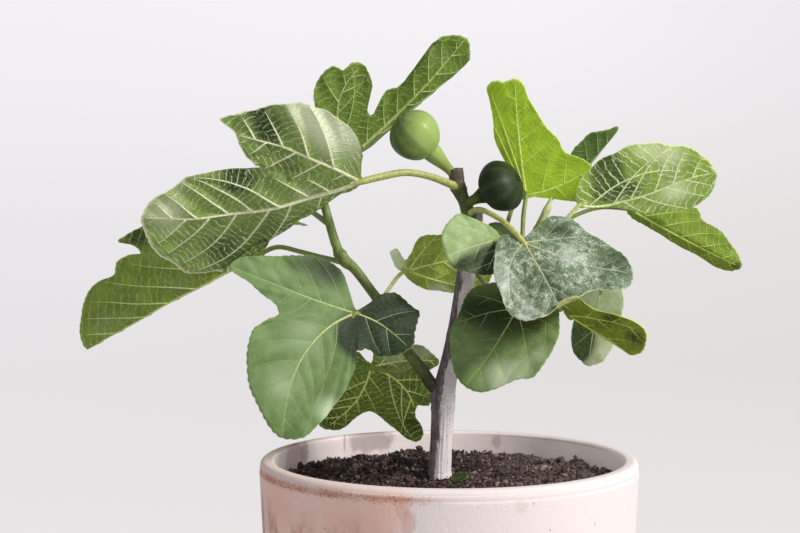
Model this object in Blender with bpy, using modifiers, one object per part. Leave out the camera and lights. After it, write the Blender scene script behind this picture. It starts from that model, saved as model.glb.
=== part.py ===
"""A young fig tree in a round clay pot: a woody trunk, three side shoots, two figs, a bud, and large lobed
leaves that each hang from their own stalk. Metres, +Z up, origin at the middle of the pot's underside."""

import math

import bpy
import bmesh
import numpy as np
from mathutils import Vector

GAP = 0.0003

POT_HEIGHT = 0.227
RIM_RADIUS = 0.129
RIM_BAND = 0.010
RIM_ROUND = 0.003
LIP_ROUND = 0.0012
GROOVE_DEPTH = 0.0010
GROOVE_RISE = 0.0015
GROOVE_FALL = 0.0020
WALL = 0.0095
FLOOR = 0.012
SHOULDER_RADIUS = 0.128
WAIST_RADIUS = 0.122
WAIST_HEIGHT = 0.060
FOOT_RADIUS = 0.104
FOOT_ROUND = 0.014
FLOOR_RADIUS = 0.096
INNER_LEVELS = (0.020, 0.035, WAIST_HEIGHT, 0.130)
POT_SIDES = 44

SOIL_TOP = 0.212

LEAF_THICKNESS = 0.0016
SPOKE_SPACING = 0.0135
RINGS = (0.55, 1.0)
FOOT_REACH = 0.0025
LOBE_ROUNDNESS = 0.4
LOBE_BLEND = 12

STALK_BASE = 1.25
STALK_NECK = 0.9
STALK_END = 0.6
STALK_SUNK = 5

FIG_SHOULDER = 1.75
FIG_CROWN = 0.96

BARK = (0.33, 0.28, 0.29)
GREEN_WOOD = (0.16, 0.26, 0.07)
STALK_GREEN = (0.42, 0.50, 0.14)
LEAF_GREEN = (0.13, 0.27, 0.07)
FIG_GREEN = (0.17, 0.33, 0.08)
DARK_FIG_GREEN = (0.04, 0.09, 0.03)
CLAY = (0.72, 0.52, 0.44)
SOIL_BROWN = (0.05, 0.035, 0.03)


def clear_scene():
    for obj in list(bpy.data.objects):
        bpy.data.objects.remove(obj, do_unlink=True)


def new_collection(name):
    collection = bpy.data.collections.new(name)
    bpy.context.scene.collection.children.link(collection)
    return collection


def new_material(name, colour, roughness):
    material = bpy.data.materials.new(name)
    material.use_nodes = True
    shader = material.node_tree.nodes["Principled BSDF"]
    shader.inputs["Base Color"].default_value = (*colour, 1)
    shader.inputs["Roughness"].default_value = roughness
    shader.inputs["Metallic"].default_value = 0
    material.diffuse_color = (*colour, 1)
    return material


def place_object(name, mesh, material, collection):
    obj = bpy.data.objects.new(name, mesh)
    collection.objects.link(obj)
    mesh.materials.clear()
    mesh.materials.append(material)
    return obj


def freeze(obj):
    """Gives the object its evaluated mesh, and drops its modifiers."""
    bpy.context.view_layer.update()
    graph = bpy.context.evaluated_depsgraph_get()
    mesh = bpy.data.meshes.new_from_object(obj.evaluated_get(graph))
    obj.modifiers.clear()
    obj.data = mesh


def add_boolean(obj, operation, other, solver="EXACT"):
    boolean = obj.modifiers.new(operation.lower(), "BOOLEAN")
    boolean.operation = operation
    boolean.object = other
    boolean.solver = solver


def smooth_route(points, radii, steps):
    """A Catmull-Rom curve through the points, with the radii following the same rule."""
    given = np.column_stack([np.array(points, float), np.array(radii, float)])
    ends = np.vstack([2 * given[0] - given[1], given, 2 * given[-1] - given[-2]])
    rows = []
    for before, start, end, after in zip(ends, ends[1:], ends[2:], ends[3:]):
        for t in np.arange(steps) / steps:
            rows.append(
                0.5 * (2 * start + (end - before) * t
                       + (2 * before - 5 * start + 4 * end - after) * t**2
                       + (3 * start - before - 3 * end + after) * t**3)
            )
    rows.append(given[-1])
    return np.array(rows)


def tube(name, rows, material, collection, resolution=1):
    """A round limb along rows of x, y, z and radius: a bevelled curve, made a mesh with its caps welded."""
    curve = bpy.data.curves.new(name, "CURVE")
    curve.dimensions = "3D"
    curve.bevel_depth = 1
    curve.bevel_resolution = resolution
    curve.use_fill_caps = True
    spline = curve.splines.new("POLY")
    spline.points.add(len(rows) - 1)
    for point, (x, y, z, radius) in zip(spline.points, rows):
        point.co = (x, y, z, 1)
        point.radius = radius
    guide = bpy.data.objects.new(name + "_route", curve)
    collection.objects.link(guide)
    bpy.context.view_layer.update()
    graph = bpy.context.evaluated_depsgraph_get()
    mesh = bpy.data.meshes.new_from_object(guide.evaluated_get(graph))
    place = guide.matrix_world.copy()
    bpy.data.objects.remove(guide, do_unlink=True)
    bpy.data.curves.remove(curve)
    shape = bmesh.new()
    shape.from_mesh(mesh)
    bmesh.ops.remove_doubles(shape, verts=shape.verts, dist=1e-6)
    bmesh.ops.recalc_face_normals(shape, faces=shape.faces)
    shape.to_mesh(mesh)
    shape.free()
    mesh.shade_smooth()
    obj = place_object(name, mesh, material, collection)
    obj.matrix_world = place
    return obj


def turned(name, profile, material, collection):
    """A closed body turned round the Z axis, from a profile of (radius, height) down its outer side."""
    mesh = bpy.data.meshes.new(name)
    edges = [(i, i + 1) for i in range(len(profile) - 1)]
    mesh.from_pydata([(radius, 0, height) for radius, height in profile], edges, [])
    obj = place_object(name, mesh, material, collection)
    screw = obj.modifiers.new("turn", "SCREW")
    screw.axis = "Z"
    screw.steps = POT_SIDES
    screw.render_steps = POT_SIDES
    screw.use_merge_vertices = True
    screw.merge_threshold = 0.00001
    screw.use_smooth_shade = True
    return obj


def wall_radius(height):
    """The pot's outer radius: nearly upright below the rim, drawn in a little toward the foot."""
    if height >= WAIST_HEIGHT:
        share = (height - WAIST_HEIGHT) / (POT_HEIGHT - RIM_BAND - WAIST_HEIGHT)
        return WAIST_RADIUS + (SHOULDER_RADIUS - WAIST_RADIUS) * share
    share = (WAIST_HEIGHT - height) / WAIST_HEIGHT
    return WAIST_RADIUS - (WAIST_RADIUS - FOOT_RADIUS - FOOT_ROUND / 2) * share**2


def arc(centre, radius, start, end, count):
    """Points of an arc in the profile's plane, from one angle to another in degrees."""
    angles = np.radians(np.linspace(start, end, count))
    return [(centre[0] + radius * math.cos(a), centre[1] + radius * math.sin(a)) for a in angles]


def add_pot(material, collection):
    """A banded rim with a groove under it, a wall of even thickness, a rounded foot and a flat floor."""
    band_foot = POT_HEIGHT - RIM_BAND
    rim = arc((RIM_RADIUS - RIM_ROUND, POT_HEIGHT - RIM_ROUND), RIM_ROUND, 90, 0, 4)
    groove = [
        (RIM_RADIUS, band_foot + GROOVE_RISE),
        (SHOULDER_RADIUS - GROOVE_DEPTH, band_foot),
        (SHOULDER_RADIUS, band_foot - GROOVE_FALL),
    ]
    outside = [(wall_radius(level), level) for level in reversed(INNER_LEVELS[1:])]
    foot = arc((FOOT_RADIUS, FOOT_ROUND), FOOT_ROUND, 0, -90, 4)
    floor = [(0, 0), (0, FLOOR), (FLOOR_RADIUS, FLOOR)]
    inside = [(wall_radius(level) - WALL, level) for level in INNER_LEVELS + (band_foot - GROOVE_FALL,)]
    inner_rim = RIM_RADIUS - WALL
    lip = [(inner_rim, POT_HEIGHT - RIM_ROUND), (inner_rim + LIP_ROUND, POT_HEIGHT)]
    profile = rim + groove + outside + foot + floor + inside + lip
    return turned("pot", profile + [rim[0]], material, collection)


def add_soil(material, collection):
    """The soil stands on the pot's floor and follows its inner wall, one gap clear."""
    side = [(wall_radius(level) - WALL - 2 * GAP, level) for level in (SOIL_TOP, *reversed(INNER_LEVELS))]
    base = [(FLOOR_RADIUS - 2 * GAP, FLOOR + GAP), (0, FLOOR + GAP)]
    return turned("soil", [(0, SOIL_TOP)] + side + base, material, collection)


def off_centre(angles, centre, spread):
    """How far each direction is from the centre one, as a share of the spread, and 1 past it."""
    return np.minimum(np.abs((angles - centre + 180) % 360 - 180) / spread, 1)


def blade_reach(angles, lobes, notches):
    """How far the blade reaches from its foot in each direction: the greatest of its lobes, each a rounded
    cosine about its own angle, blended where two meet. In a notch it draws in by a squared sine."""
    total = np.zeros_like(angles)
    for angle, length, spread in lobes:
        share = np.cos(np.pi / 2 * off_centre(angles, angle, spread)) ** LOBE_ROUNDNESS
        total += (length * share) ** LOBE_BLEND
    reach = np.maximum(total ** (1 / LOBE_BLEND), FOOT_REACH)
    for angle, depth, spread in notches:
        share = np.sin(np.pi / 2 * off_centre(angles, angle, spread)) ** 2
        reach = np.minimum(reach, depth + (reach - depth) * share)
    return reach


def spoke_angles(lobes, notches):
    """Directions for the blade's spokes: every tip and notch, the midrib, and even steps between."""
    angles = np.linspace(-180, 180, 721)[:-1]
    reach = blade_reach(angles, lobes, notches)
    x = reach * np.cos(np.radians(angles))
    y = reach * np.sin(np.radians(angles))
    step = np.hypot(np.roll(x, -1) - x, np.roll(y, -1) - y)
    walked = np.concatenate([[0], np.cumsum(step)])
    rising = np.sign(np.roll(reach, -1) - reach)
    turns = set(np.flatnonzero(rising != np.roll(rising, 1))) | {0, len(angles) // 2}
    turns = sorted(turns) + [len(angles)]
    chosen = []
    for start, end in zip(turns, turns[1:]):
        count = max(1, round((walked[end] - walked[start]) / SPOKE_SPACING))
        marks = np.linspace(walked[start], walked[end], count + 1)[:-1]
        chosen += [int(np.searchsorted(walked, mark)) for mark in marks]
    chosen = sorted({index % len(angles) for index in chosen})
    return angles[chosen]


def bend_blade(u, v, foot, tip, faces, arch, cup, fold):
    """Takes points of the flat blade, u along the midrib and v to its left, to their places in the world.
    The midrib arches between foot and tip, each half folds up about it, and the edges cup upward."""
    foot = np.array(foot, float)
    along = np.array(tip, float) - foot
    length = np.linalg.norm(along)
    along /= length
    upper = np.array(faces, float)
    upper -= along * (upper @ along)
    upper /= np.linalg.norm(upper)
    across = np.cross(upper, along)
    lift = np.radians(np.where(v > 0, fold[0], fold[1]))
    share = u / length
    height = 4 * arch * share * (1 - share) + cup * v * v / length + np.abs(v) * np.sin(lift)
    side = v * np.cos(lift)
    return foot + np.outer(u, along) + np.outer(side, across) + np.outer(height, upper)


def blade_mesh(name, foot, tip, faces, lobes, notches, arch, cup, fold):
    """A fan of spokes from the foot to the lobed outline, in rings."""
    angles = spoke_angles(lobes, notches)
    reach = blade_reach(angles, lobes, notches)
    turn = np.radians(angles)
    u = np.concatenate([[0]] + [share * reach * np.cos(turn) for share in RINGS])
    v = np.concatenate([[0]] + [share * reach * np.sin(turn) for share in RINGS])
    points = bend_blade(u, v, foot, tip, faces, arch, cup, fold)
    count = len(angles)
    polygons = []
    for i in range(count):
        j = (i + 1) % count
        polygons.append((0, 1 + i, 1 + j))
        for ring in range(len(RINGS) - 1):
            a, b = 1 + ring * count, 1 + (ring + 1) * count
            polygons.append((a + i, b + i, b + j))
            polygons.append((a + i, b + j, a + j))
    mesh = bpy.data.meshes.new(name)
    mesh.from_pydata([tuple(point) for point in points], [], polygons)
    return mesh


def add_leaf(name, foot, tip, faces, lobes, stalk, stalk_radius, stem,
             notches=(), arch=0.0, cup=0.0, fold=(6, 6), thickness=LEAF_THICKNESS):
    """One leaf: a solid blade fused with its stalk, which ends clear of the stem that carries it."""
    mesh = blade_mesh(name, foot, tip, faces, lobes, notches, arch, cup, fold)
    blade = place_object(name, mesh, LEAF, PARTS)
    solid = blade.modifiers.new("thickness", "SOLIDIFY")
    solid.thickness = thickness
    solid.offset = 0
    freeze(blade)
    start = Vector(foot)
    midrib = (Vector(tip) - start).normalized()
    sunk = start + midrib * STALK_SUNK * stalk_radius
    route = list(stalk) + [tuple(start), tuple(sunk)]
    shares = [STALK_BASE] + [1] * (len(stalk) - 1) + [STALK_NECK, STALK_END]
    radii = [share * stalk_radius for share in shares]
    holder = tube(name + "_stalk", smooth_route(route, radii, 2), LEAF, CUTTERS)
    if stem:
        add_boolean(holder, "DIFFERENCE", GROWN[stem])
        freeze(holder)
    add_boolean(blade, "UNION", holder, "MANIFOLD")
    freeze(blade)
    bpy.data.objects.remove(holder, do_unlink=True)
    blade.data.shade_smooth()
    return blade


def add_stem(name, points, radii, material, steps=3, cut_by=None, resolution=2):
    """A woody limb, and its copy one gap thicker, which trims whatever meets it."""
    rows = smooth_route(points, radii, steps)
    limb = tube(name, rows, material, PARTS, resolution)
    if cut_by:
        add_boolean(limb, "DIFFERENCE", GROWN[cut_by])
        freeze(limb)
    thicker = rows + np.array([0, 0, 0, GAP])
    ahead = thicker[-1, :3] - thicker[-2, :3]
    thicker[-1, :3] += ahead / np.linalg.norm(ahead) * GAP
    cutter = tube(name + "_cutter", thicker, material, CUTTERS, resolution)
    cutter.hide_render = True
    cutter.display_type = "WIRE"
    GROWN[name] = cutter
    return limb


def add_fig(name, neck, centre, radius, neck_radius, material, stem):
    """A pear-shaped fig: its neck swells by a squared sine to the widest ring, its crown is an ellipse."""
    start = np.array(neck, float)
    axis = np.array(centre, float) - start
    length = np.linalg.norm(axis)
    axis /= length
    neck_end = length - FIG_SHOULDER * radius
    rows = [(*start, neck_radius), (*(start + axis * neck_end), neck_radius)]
    for share in np.linspace(0.2, 1, 5):
        swell = math.sin(share * math.pi / 2) ** 2
        at = neck_end + share * (length - neck_end)
        rows.append((*(start + axis * at), neck_radius + (radius - neck_radius) * swell))
    for turn in np.radians(np.linspace(17, 82, 5)):
        at = length + FIG_CROWN * radius * math.sin(turn)
        rows.append((*(start + axis * at), radius * math.cos(turn)))
    fig = tube(name, np.array(rows), material, PARTS, 4)
    add_boolean(fig, "DIFFERENCE", GROWN[stem])
    freeze(fig)
    return fig


def palmate(length):
    """The usual five-lobed blade: a long middle lobe, two beside it and two small ones at the foot."""
    side, low = 0.80 * length, 0.50 * length
    return [(0, length, 24), (42, side, 21), (-42, side, 21), (88, low, 34), (-88, low, 34)]


clear_scene()
PARTS = new_collection("fig_tree")
CUTTERS = new_collection("cutters")
GROWN = {}

WOOD = new_material("grey_bark", BARK, 0.80)
YOUNG_WOOD = new_material("green_wood", GREEN_WOOD, 0.65)
STALK = new_material("stalk", STALK_GREEN, 0.50)
LEAF = new_material("leaf", LEAF_GREEN, 0.50)
FIG = new_material("fig_skin", FIG_GREEN, 0.40)
DARK_FIG = new_material("dark_fig_skin", DARK_FIG_GREEN, 0.45)
POT_CLAY = new_material("clay", CLAY, 0.90)
EARTH = new_material("soil", SOIL_BROWN, 1.0)

add_pot(POT_CLAY, PARTS)
add_soil(EARTH, PARTS)

TRUNK_FOOT = SOIL_TOP + GAP
add_stem(
    "trunk",
    [(-0.006, -0.005, TRUNK_FOOT), (-0.006, -0.005, TRUNK_FOOT + 0.003), (-0.006, -0.005, TRUNK_FOOT + 0.007),
     (-0.005, -0.005, 0.240), (-0.004, -0.005, 0.262), (-0.004, -0.005, 0.270), (-0.002, -0.004, 0.279),
     (0.005, -0.002, 0.311), (0.012, 0.002, 0.354), (0.017, 0.005, 0.383), (0.019, 0.006, 0.397)],
    [0.0090, 0.0082, 0.0077, 0.0073, 0.0078, 0.0088, 0.0072, 0.0063, 0.0060, 0.0055, 0.0050],
    WOOD, steps=2,
)
add_stem(
    "upper_shoot",
    [(0.017, 0.006, 0.386), (0.013, 0.002, 0.395), (0.010, 0, 0.403), (0.007, -0.002, 0.413),
     (0.006, -0.003, 0.424)],
    [0.0036, 0.0036, 0.0036, 0.0045, 0.0039],
    WOOD, steps=2, cut_by="trunk",
)
add_stem(
    "left_branch",
    [(-0.004, -0.005, 0.270), (-0.012, -0.006, 0.278), (-0.020, -0.007, 0.290), (-0.030, -0.008, 0.303),
     (-0.043, -0.012, 0.328), (-0.049, -0.014, 0.336), (-0.065, -0.015, 0.356), (-0.073, -0.013, 0.363),
     (-0.079, -0.010, 0.374), (-0.087, -0.002, 0.400), (-0.088, 0.002, 0.410)],
    [0.0048, 0.0044, 0.0040, 0.0036, 0.0033, 0.0032, 0.0033, 0.0042, 0.0032, 0.0028, 0.0025],
    YOUNG_WOOD, steps=2, cut_by="trunk",
)
add_stem(
    "right_shoot",
    [(0.014, 0.003, 0.370), (0.022, 0.001, 0.367), (0.033, -0.003, 0.365), (0.045, -0.004, 0.366),
     (0.054, -0.004, 0.374), (0.063, 0, 0.389)],
    [0.0034, 0.0032, 0.0030, 0.0029, 0.0027, 0.0023],
    YOUNG_WOOD, steps=2, cut_by="trunk",
)

add_leaf(
    "leaf_upper_left",
    foot=(-0.058, -0.045, 0.416), tip=(-0.200, -0.050, 0.391), faces=(-0.1, 0.9, 0.45),
    lobes=[(-20, 0.138, 14), (-10, 0.144, 14), (-2, 0.146, 19), (31, 0.098, 23), (54, 0.068, 34),
           (84, 0.038, 18)],
    notches=[(14, 0.062, 4)], arch=0.006, cup=0.10, fold=(5, 8),
    stalk=[(0.006, -0.004, 0.412), (-0.012, -0.018, 0.419), (-0.029, -0.029, 0.422), (-0.046, -0.038, 0.419)],
    stalk_radius=0.0024, stem="upper_shoot",
)
add_leaf(
    "leaf_top",
    foot=(-0.063, 0.020, 0.437), tip=(0.018, 0.005, 0.502), faces=(-0.12, 0.95, 0.3),
    lobes=[(-7, 0.112, 14), (-14, 0.102, 8), (-27, 0.047, 15), (-56, 0.063, 24), (-75, 0.057, 24),
           (10, 0.090, 16), (45, 0.050, 30)],
    notches=[(-40, 0.026, 4)], arch=0.003, fold=(70, 0),
    stalk=[(-0.088, 0.002, 0.409), (-0.085, 0.008, 0.420), (-0.075, 0.014, 0.430)],
    stalk_radius=0.0018, stem="left_branch",
)
add_leaf(
    "leaf_bright",
    foot=(0.053, 0.015, 0.406), tip=(0.034, -0.005, 0.484), faces=(0.07, 0.96, 0.26),
    lobes=[(-3, 0.083, 10), (7, 0.083, 12), (22, 0.055, 22), (50, 0.044, 30), (90, 0.050, 34),
           (-15, 0.045, 12)],
    arch=0.004, fold=(6, 10),
    stalk=[(0.049, -0.004, 0.369), (0.050, 0, 0.379), (0.051, 0.008, 0.393)],
    stalk_radius=0.0016, stem="right_shoot",
)
add_leaf(
    "leaf_behind_right",
    foot=(0.095, 0.048, 0.422), tip=(0.118, 0.038, 0.453), faces=(-0.04, 0.94, 0.34),
    lobes=[(-2, 0.041, 22), (-32, 0.026, 30), (20, 0.034, 26)],
    fold=(85, 0),
    stalk=[(0.057, -0.003, 0.379), (0.061, 0.009, 0.387), (0.070, 0.025, 0.402), (0.082, 0.040, 0.414)],
    stalk_radius=0.0012, stem="right_shoot",
)
add_leaf(
    "leaf_right",
    foot=(0.090, 0.010, 0.400), tip=(0.181, 0, 0.422), faces=(-0.07, 0.75, 0.65),
    lobes=[(-2, 0.093, 38), (-38, 0.056, 26), (24, 0.080, 16)],
    arch=0.003, fold=(8, 8),
    stalk=[(0.056, -0.004, 0.378), (0.070, 0, 0.381), (0.081, 0.006, 0.391)],
    stalk_radius=0.0015, stem="right_shoot",
)
add_leaf(
    "leaf_right_low",
    foot=(0.127, 0.033, 0.396), tip=(0.204, 0.048, 0.356), faces=(-0.1, 0.80, 0.60),
    lobes=[(-1, 0.091, 12), (5, 0.086, 8), (8, 0.040, 18), (-10, 0.070, 9), (-24, 0.048, 16)],
    arch=0.002, fold=(0, 45),
    stalk=[(0.051, -0.004, 0.370), (0.068, 0.017, 0.376), (0.081, 0.031, 0.388), (0.104, 0.038, 0.397)],
    stalk_radius=0.0014, stem="right_shoot",
)
add_leaf(
    "leaf_silver",
    foot=(0.049, -0.050, 0.376), tip=(0.070, -0.080, 0.338), faces=(0.06, -0.76, 0.64),
    lobes=[(-22, 0.061, 38), (12, 0.052, 24), (48, 0.075, 26), (78, 0.051, 30), (105, 0.042, 24),
           (-75, 0.024, 40)],
    arch=0.003, fold=(-8, -4),
    stalk=[(0.013, 0.002, 0.394), (0.021, -0.016, 0.397), (0.034, -0.032, 0.391), (0.043, -0.044, 0.383)],
    stalk_radius=0.0019, stem="upper_shoot",
)
add_leaf(
    "leaf_centre",
    foot=(0.032, -0.042, 0.378), tip=(-0.002, -0.056, 0.366), faces=(0.22, -0.88, 0.43),
    lobes=[(-10, 0.038, 62), (50, 0.029, 42)],
    fold=(5, 5),
    stalk=[(0.016, 0.005, 0.379), (0.024, -0.018, 0.379)],
    stalk_radius=0.0015, stem="trunk",
)
add_leaf(
    "leaf_front_dark",
    foot=(0.045, -0.040, 0.332), tip=(0.013, -0.068, 0.285), faces=(-0.17, -0.79, 0.59),
    lobes=[(4, 0.066, 46), (-42, 0.047, 36), (-82, 0.036, 40), (42, 0.055, 34), (82, 0.037, 36)],
    arch=0.003, fold=(8, 8),
    stalk=[(0.035, -0.003, 0.364), (0.040, -0.022, 0.353), (0.043, -0.035, 0.342)],
    stalk_radius=0.0016, stem="right_shoot",
)
add_leaf(
    "leaf_low_right",
    foot=(0.080, -0.020, 0.326), tip=(0.122, -0.014, 0.299), faces=(0.22, 0.64, 0.74),
    lobes=[(-4, 0.053, 20), (-28, 0.054, 22), (-52, 0.040, 22), (20, 0.046, 24)],
    fold=(85, 0),
    stalk=[(0.047, -0.005, 0.365), (0.061, -0.012, 0.355), (0.072, -0.018, 0.342)],
    stalk_radius=0.0014, stem="right_shoot",
)
add_leaf(
    "leaf_behind_low_right",
    foot=(0.104, 0.008, 0.341), tip=(0.096, 0.014, 0.288), faces=(0.42, 0.9, 0.11),
    lobes=[(0, 0.051, 44), (-48, 0.023, 36), (48, 0.019, 34)],
    fold=(8, 8),
    stalk=[(0.040, -0.003, 0.365), (0.066, 0.006, 0.361), (0.090, 0.010, 0.351)],
    stalk_radius=0.0014, stem="right_shoot",
)
add_leaf(
    "leaf_middle",
    foot=(-0.028, 0.020, 0.354), tip=(0.028, 0.042, 0.345), faces=(-0.28, 0.87, 0.4),
    lobes=[(-20, 0.060, 26), (4, 0.063, 20), (-66, 0.036, 32), (-137, 0.020, 26)],
    fold=(10, 10),
    stalk=[(-0.047, -0.013, 0.334), (-0.042, 0, 0.341), (-0.037, 0.012, 0.348), (-0.033, 0.018, 0.352)],
    stalk_radius=0.0014, stem="left_branch",
)
add_leaf(
    "leaf_front_left",
    foot=(-0.061, -0.055, 0.330), tip=(-0.105, -0.100, 0.254), faces=(0.29, -0.89, 0.35),
    lobes=[(-28, 0.087, 31), (-3, 0.099, 26), (-60, 0.048, 40), (-78, 0.090, 14), (-96, 0.056, 22),
           (-112, 0.046, 30), (84, 0.044, 50), (122, 0.044, 26)],
    arch=0.004, fold=(8, 8),
    stalk=[(-0.039, -0.011, 0.319), (-0.043, -0.028, 0.319), (-0.052, -0.045, 0.325)],
    stalk_radius=0.0020, stem="left_branch",
)
add_leaf(
    "leaf_low",
    foot=(-0.054, 0.012, 0.287), tip=(-0.022, 0.038, 0.230), faces=(0, 0.91, 0.42),
    lobes=[(-1, 0.070, 18), (-26, 0.052, 14), (-62, 0.048, 28), (-88, 0.034, 30), (30, 0.041, 24),
           (57, 0.065, 20)],
    arch=0.003, fold=(8, 8),
    stalk=[(-0.021, -0.007, 0.292), (-0.031, 0.003, 0.286), (-0.042, 0.010, 0.285)],
    stalk_radius=0.0016, stem="left_branch",
)
add_leaf(
    "leaf_far_left",
    foot=(-0.132, 0.015, 0.363), tip=(-0.253, 0.022, 0.298), faces=(-0.14, 0.92, 0.36),
    lobes=[(2, 0.138, 14), (14, 0.126, 14), (27, 0.096, 16), (40, 0.094, 12), (60, 0.070, 26),
           (-25, 0.090, 22)],
    arch=0.004, fold=(0, 85),
    stalk=[(-0.072, -0.013, 0.362), (-0.088, -0.002, 0.367), (-0.102, 0.006, 0.370), (-0.117, 0.012, 0.372),
           (-0.127, 0.015, 0.368)],
    stalk_radius=0.0017, stem="left_branch",
)
add_leaf(
    "leaf_small",
    foot=(0.043, -0.022, 0.376), tip=(0.027, -0.020, 0.386), faces=(0.31, -0.72, 0.62),
    lobes=[(0, 0.019, 50)],
    stalk=[(0.039, -0.003, 0.366), (0.041, -0.014, 0.371)],
    stalk_radius=0.0010, stem="right_shoot",
)
add_leaf(
    "leaf_back_left",
    foot=(-0.129, 0.070, 0.391), tip=(-0.205, 0.135, 0.380), faces=(0.1, 0.35, 0.93),
    lobes=palmate(0.100), arch=0.010,
    stalk=[(-0.083, -0.006, 0.388), (-0.100, 0.022, 0.397), (-0.117, 0.052, 0.397)],
    stalk_radius=0.0017, stem="left_branch",
)
add_leaf(
    "leaf_back_high",
    foot=(-0.111, 0.065, 0.432), tip=(-0.150, 0.135, 0.446), faces=(0.1, 0.25, 0.95),
    lobes=palmate(0.076), arch=0.006,
    stalk=[(-0.086, -0.002, 0.398), (-0.093, 0.026, 0.415), (-0.103, 0.050, 0.428)],
    stalk_radius=0.0015, stem="left_branch",
)
add_leaf(
    "leaf_back_right",
    foot=(0.060, 0.078, 0.424), tip=(0.072, 0.147, 0.410), faces=(0.1, 0.30, 0.93),
    lobes=palmate(0.070), arch=0.007,
    stalk=[(0.035, -0.003, 0.365), (0.040, 0.030, 0.384), (0.050, 0.060, 0.410)],
    stalk_radius=0.0016, stem="right_shoot",
)
add_leaf(
    "leaf_back_low_right",
    foot=(0.044, 0.055, 0.327), tip=(0.058, 0.118, 0.296), faces=(0.05, 0.45, 0.85),
    lobes=palmate(0.070), arch=0.006,
    stalk=[(0.013, 0.003, 0.361), (0.024, 0.024, 0.346), (0.036, 0.043, 0.334)],
    stalk_radius=0.0016, stem="trunk",
)
add_leaf(
    "leaf_back_low_left",
    foot=(-0.085, 0.050, 0.311), tip=(-0.116, 0.112, 0.268), faces=(-0.1, 0.55, 0.80),
    lobes=palmate(0.080), arch=0.007,
    stalk=[(-0.037, -0.010, 0.315), (-0.052, 0.014, 0.317), (-0.072, 0.038, 0.315)],
    stalk_radius=0.0017, stem="left_branch",
)

add_fig("fig_light", (0.005, -0.002, 0.4205), (-0.024, -0.012, 0.447), 0.0152, 0.0029, FIG, "upper_shoot")
add_fig("fig_dark", (0.011, 0, 0.4045), (0.036, -0.012, 0.413), 0.0148, 0.0027, DARK_FIG, "upper_shoot")

BUD_ROUTE = [(0.0634, 0.0002, 0.3897), (0.0665, 0.0008, 0.3965), (0.0700, 0.0020, 0.4050)]
BUD_RADII = [0.0020, 0.0027, 0.0004]
tube("bud", smooth_route(BUD_ROUTE, BUD_RADII, 3), STALK, PARTS, 1)

add_leaf(
    "sprout",
    foot=(0.005, -0.017, SOIL_TOP + 0.0040), tip=(0.019, -0.020, SOIL_TOP + 0.0085), faces=(-0.1, -0.7, 0.7),
    lobes=[(0, 0.0155, 38)], thickness=0.0008,
    stalk=[(0.0030, -0.016, SOIL_TOP + 0.0012)],
    stalk_radius=0.0007, stem=None,
)
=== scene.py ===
"""A young fig tree in a round clay pot, finished for its picture: fired clay, crumbly soil, grey bark, green
shoots, two figs, and lobed leaves with raised ribs beneath. Metres, +Z up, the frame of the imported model."""

import math
from functools import reduce

import bpy
import numpy as np
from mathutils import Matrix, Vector


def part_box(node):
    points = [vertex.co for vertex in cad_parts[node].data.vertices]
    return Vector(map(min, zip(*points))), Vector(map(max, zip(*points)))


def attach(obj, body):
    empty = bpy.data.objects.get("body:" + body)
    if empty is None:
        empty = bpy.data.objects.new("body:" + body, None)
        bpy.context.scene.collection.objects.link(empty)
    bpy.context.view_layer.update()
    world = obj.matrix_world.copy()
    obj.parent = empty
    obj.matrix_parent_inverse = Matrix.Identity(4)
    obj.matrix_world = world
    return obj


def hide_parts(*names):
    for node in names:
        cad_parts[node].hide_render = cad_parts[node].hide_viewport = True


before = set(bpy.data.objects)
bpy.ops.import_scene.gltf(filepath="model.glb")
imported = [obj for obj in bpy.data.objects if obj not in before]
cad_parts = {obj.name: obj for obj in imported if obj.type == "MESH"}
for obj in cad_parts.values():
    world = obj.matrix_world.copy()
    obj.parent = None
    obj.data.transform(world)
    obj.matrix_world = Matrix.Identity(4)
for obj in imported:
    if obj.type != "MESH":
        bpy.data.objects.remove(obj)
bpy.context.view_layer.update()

# The camera stands about 1.2 m in front of the pot, level with the leaves, and looks a little down over
# the rim, through a long lens that keeps the pot's sides upright.
CAMERA_PLACE = (0, -1.213, 0.425)
CAMERA_DOWN = 3.17
CAMERA_LEFT = 1.58

camera = bpy.data.objects.new("camera", bpy.data.cameras.new("camera"))
camera.data.lens = 80
camera.data.sensor_width = 36
camera.location = CAMERA_PLACE
camera.rotation_euler = (math.radians(90 - CAMERA_DOWN), 0, math.radians(CAMERA_LEFT))
bpy.context.scene.collection.objects.link(camera)
bpy.context.scene.camera = camera


# The pot is thrown from pale clay, fired and left unglazed. A plain band runs round its rim above a shallow
# groove, the wall draws in a little to a rounded foot, and damp and chalk have stained it since.
POT_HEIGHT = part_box("pot")[1][2]
RIM_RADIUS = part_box("pot")[1][0]
RIM_BAND = 0.0088
BAND_RISE = 0.0048
LIP_ROUND = 0.0040
INNER_LIP_ROUND = 0.0025
GROOVE_DEPTH = 0.0004
POT_WALL = 0.0095
POT_FLOOR = 0.012
SHOULDER_RADIUS = 0.1295
WAIST_RADIUS = 0.122
WAIST_HEIGHT = 0.060
FOOT_RADIUS = 0.104
FOOT_ROUND = 0.014
FLOOR_RADIUS = 0.096
BAND_FOOT = POT_HEIGHT - RIM_BAND
UNDERSIDE_POLE = 0.010
FLOOR_POLE = 0.006
OUT_OF_ROUND = 0.00025
WALL_GLOW = 0.11
POT_SIDES = 256


def full_turn(count):
    """Angles spaced evenly round one turn."""
    return np.arange(count) / count * 2 * np.pi


def ring_faces(rows, columns, first=0):
    """Four-cornered faces between each ring of points and the next, numbered from first on. They face
    outwards where a ring runs anticlockwise, seen from the end toward which the rings go."""
    row = np.arange(rows - 1)[:, None]
    column = np.arange(columns)[None, :]
    here = first + row * columns + column
    after = first + row * columns + (column + 1) % columns
    return np.stack([here, after, after + columns, here + columns], -1).reshape(-1, 4)


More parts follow.
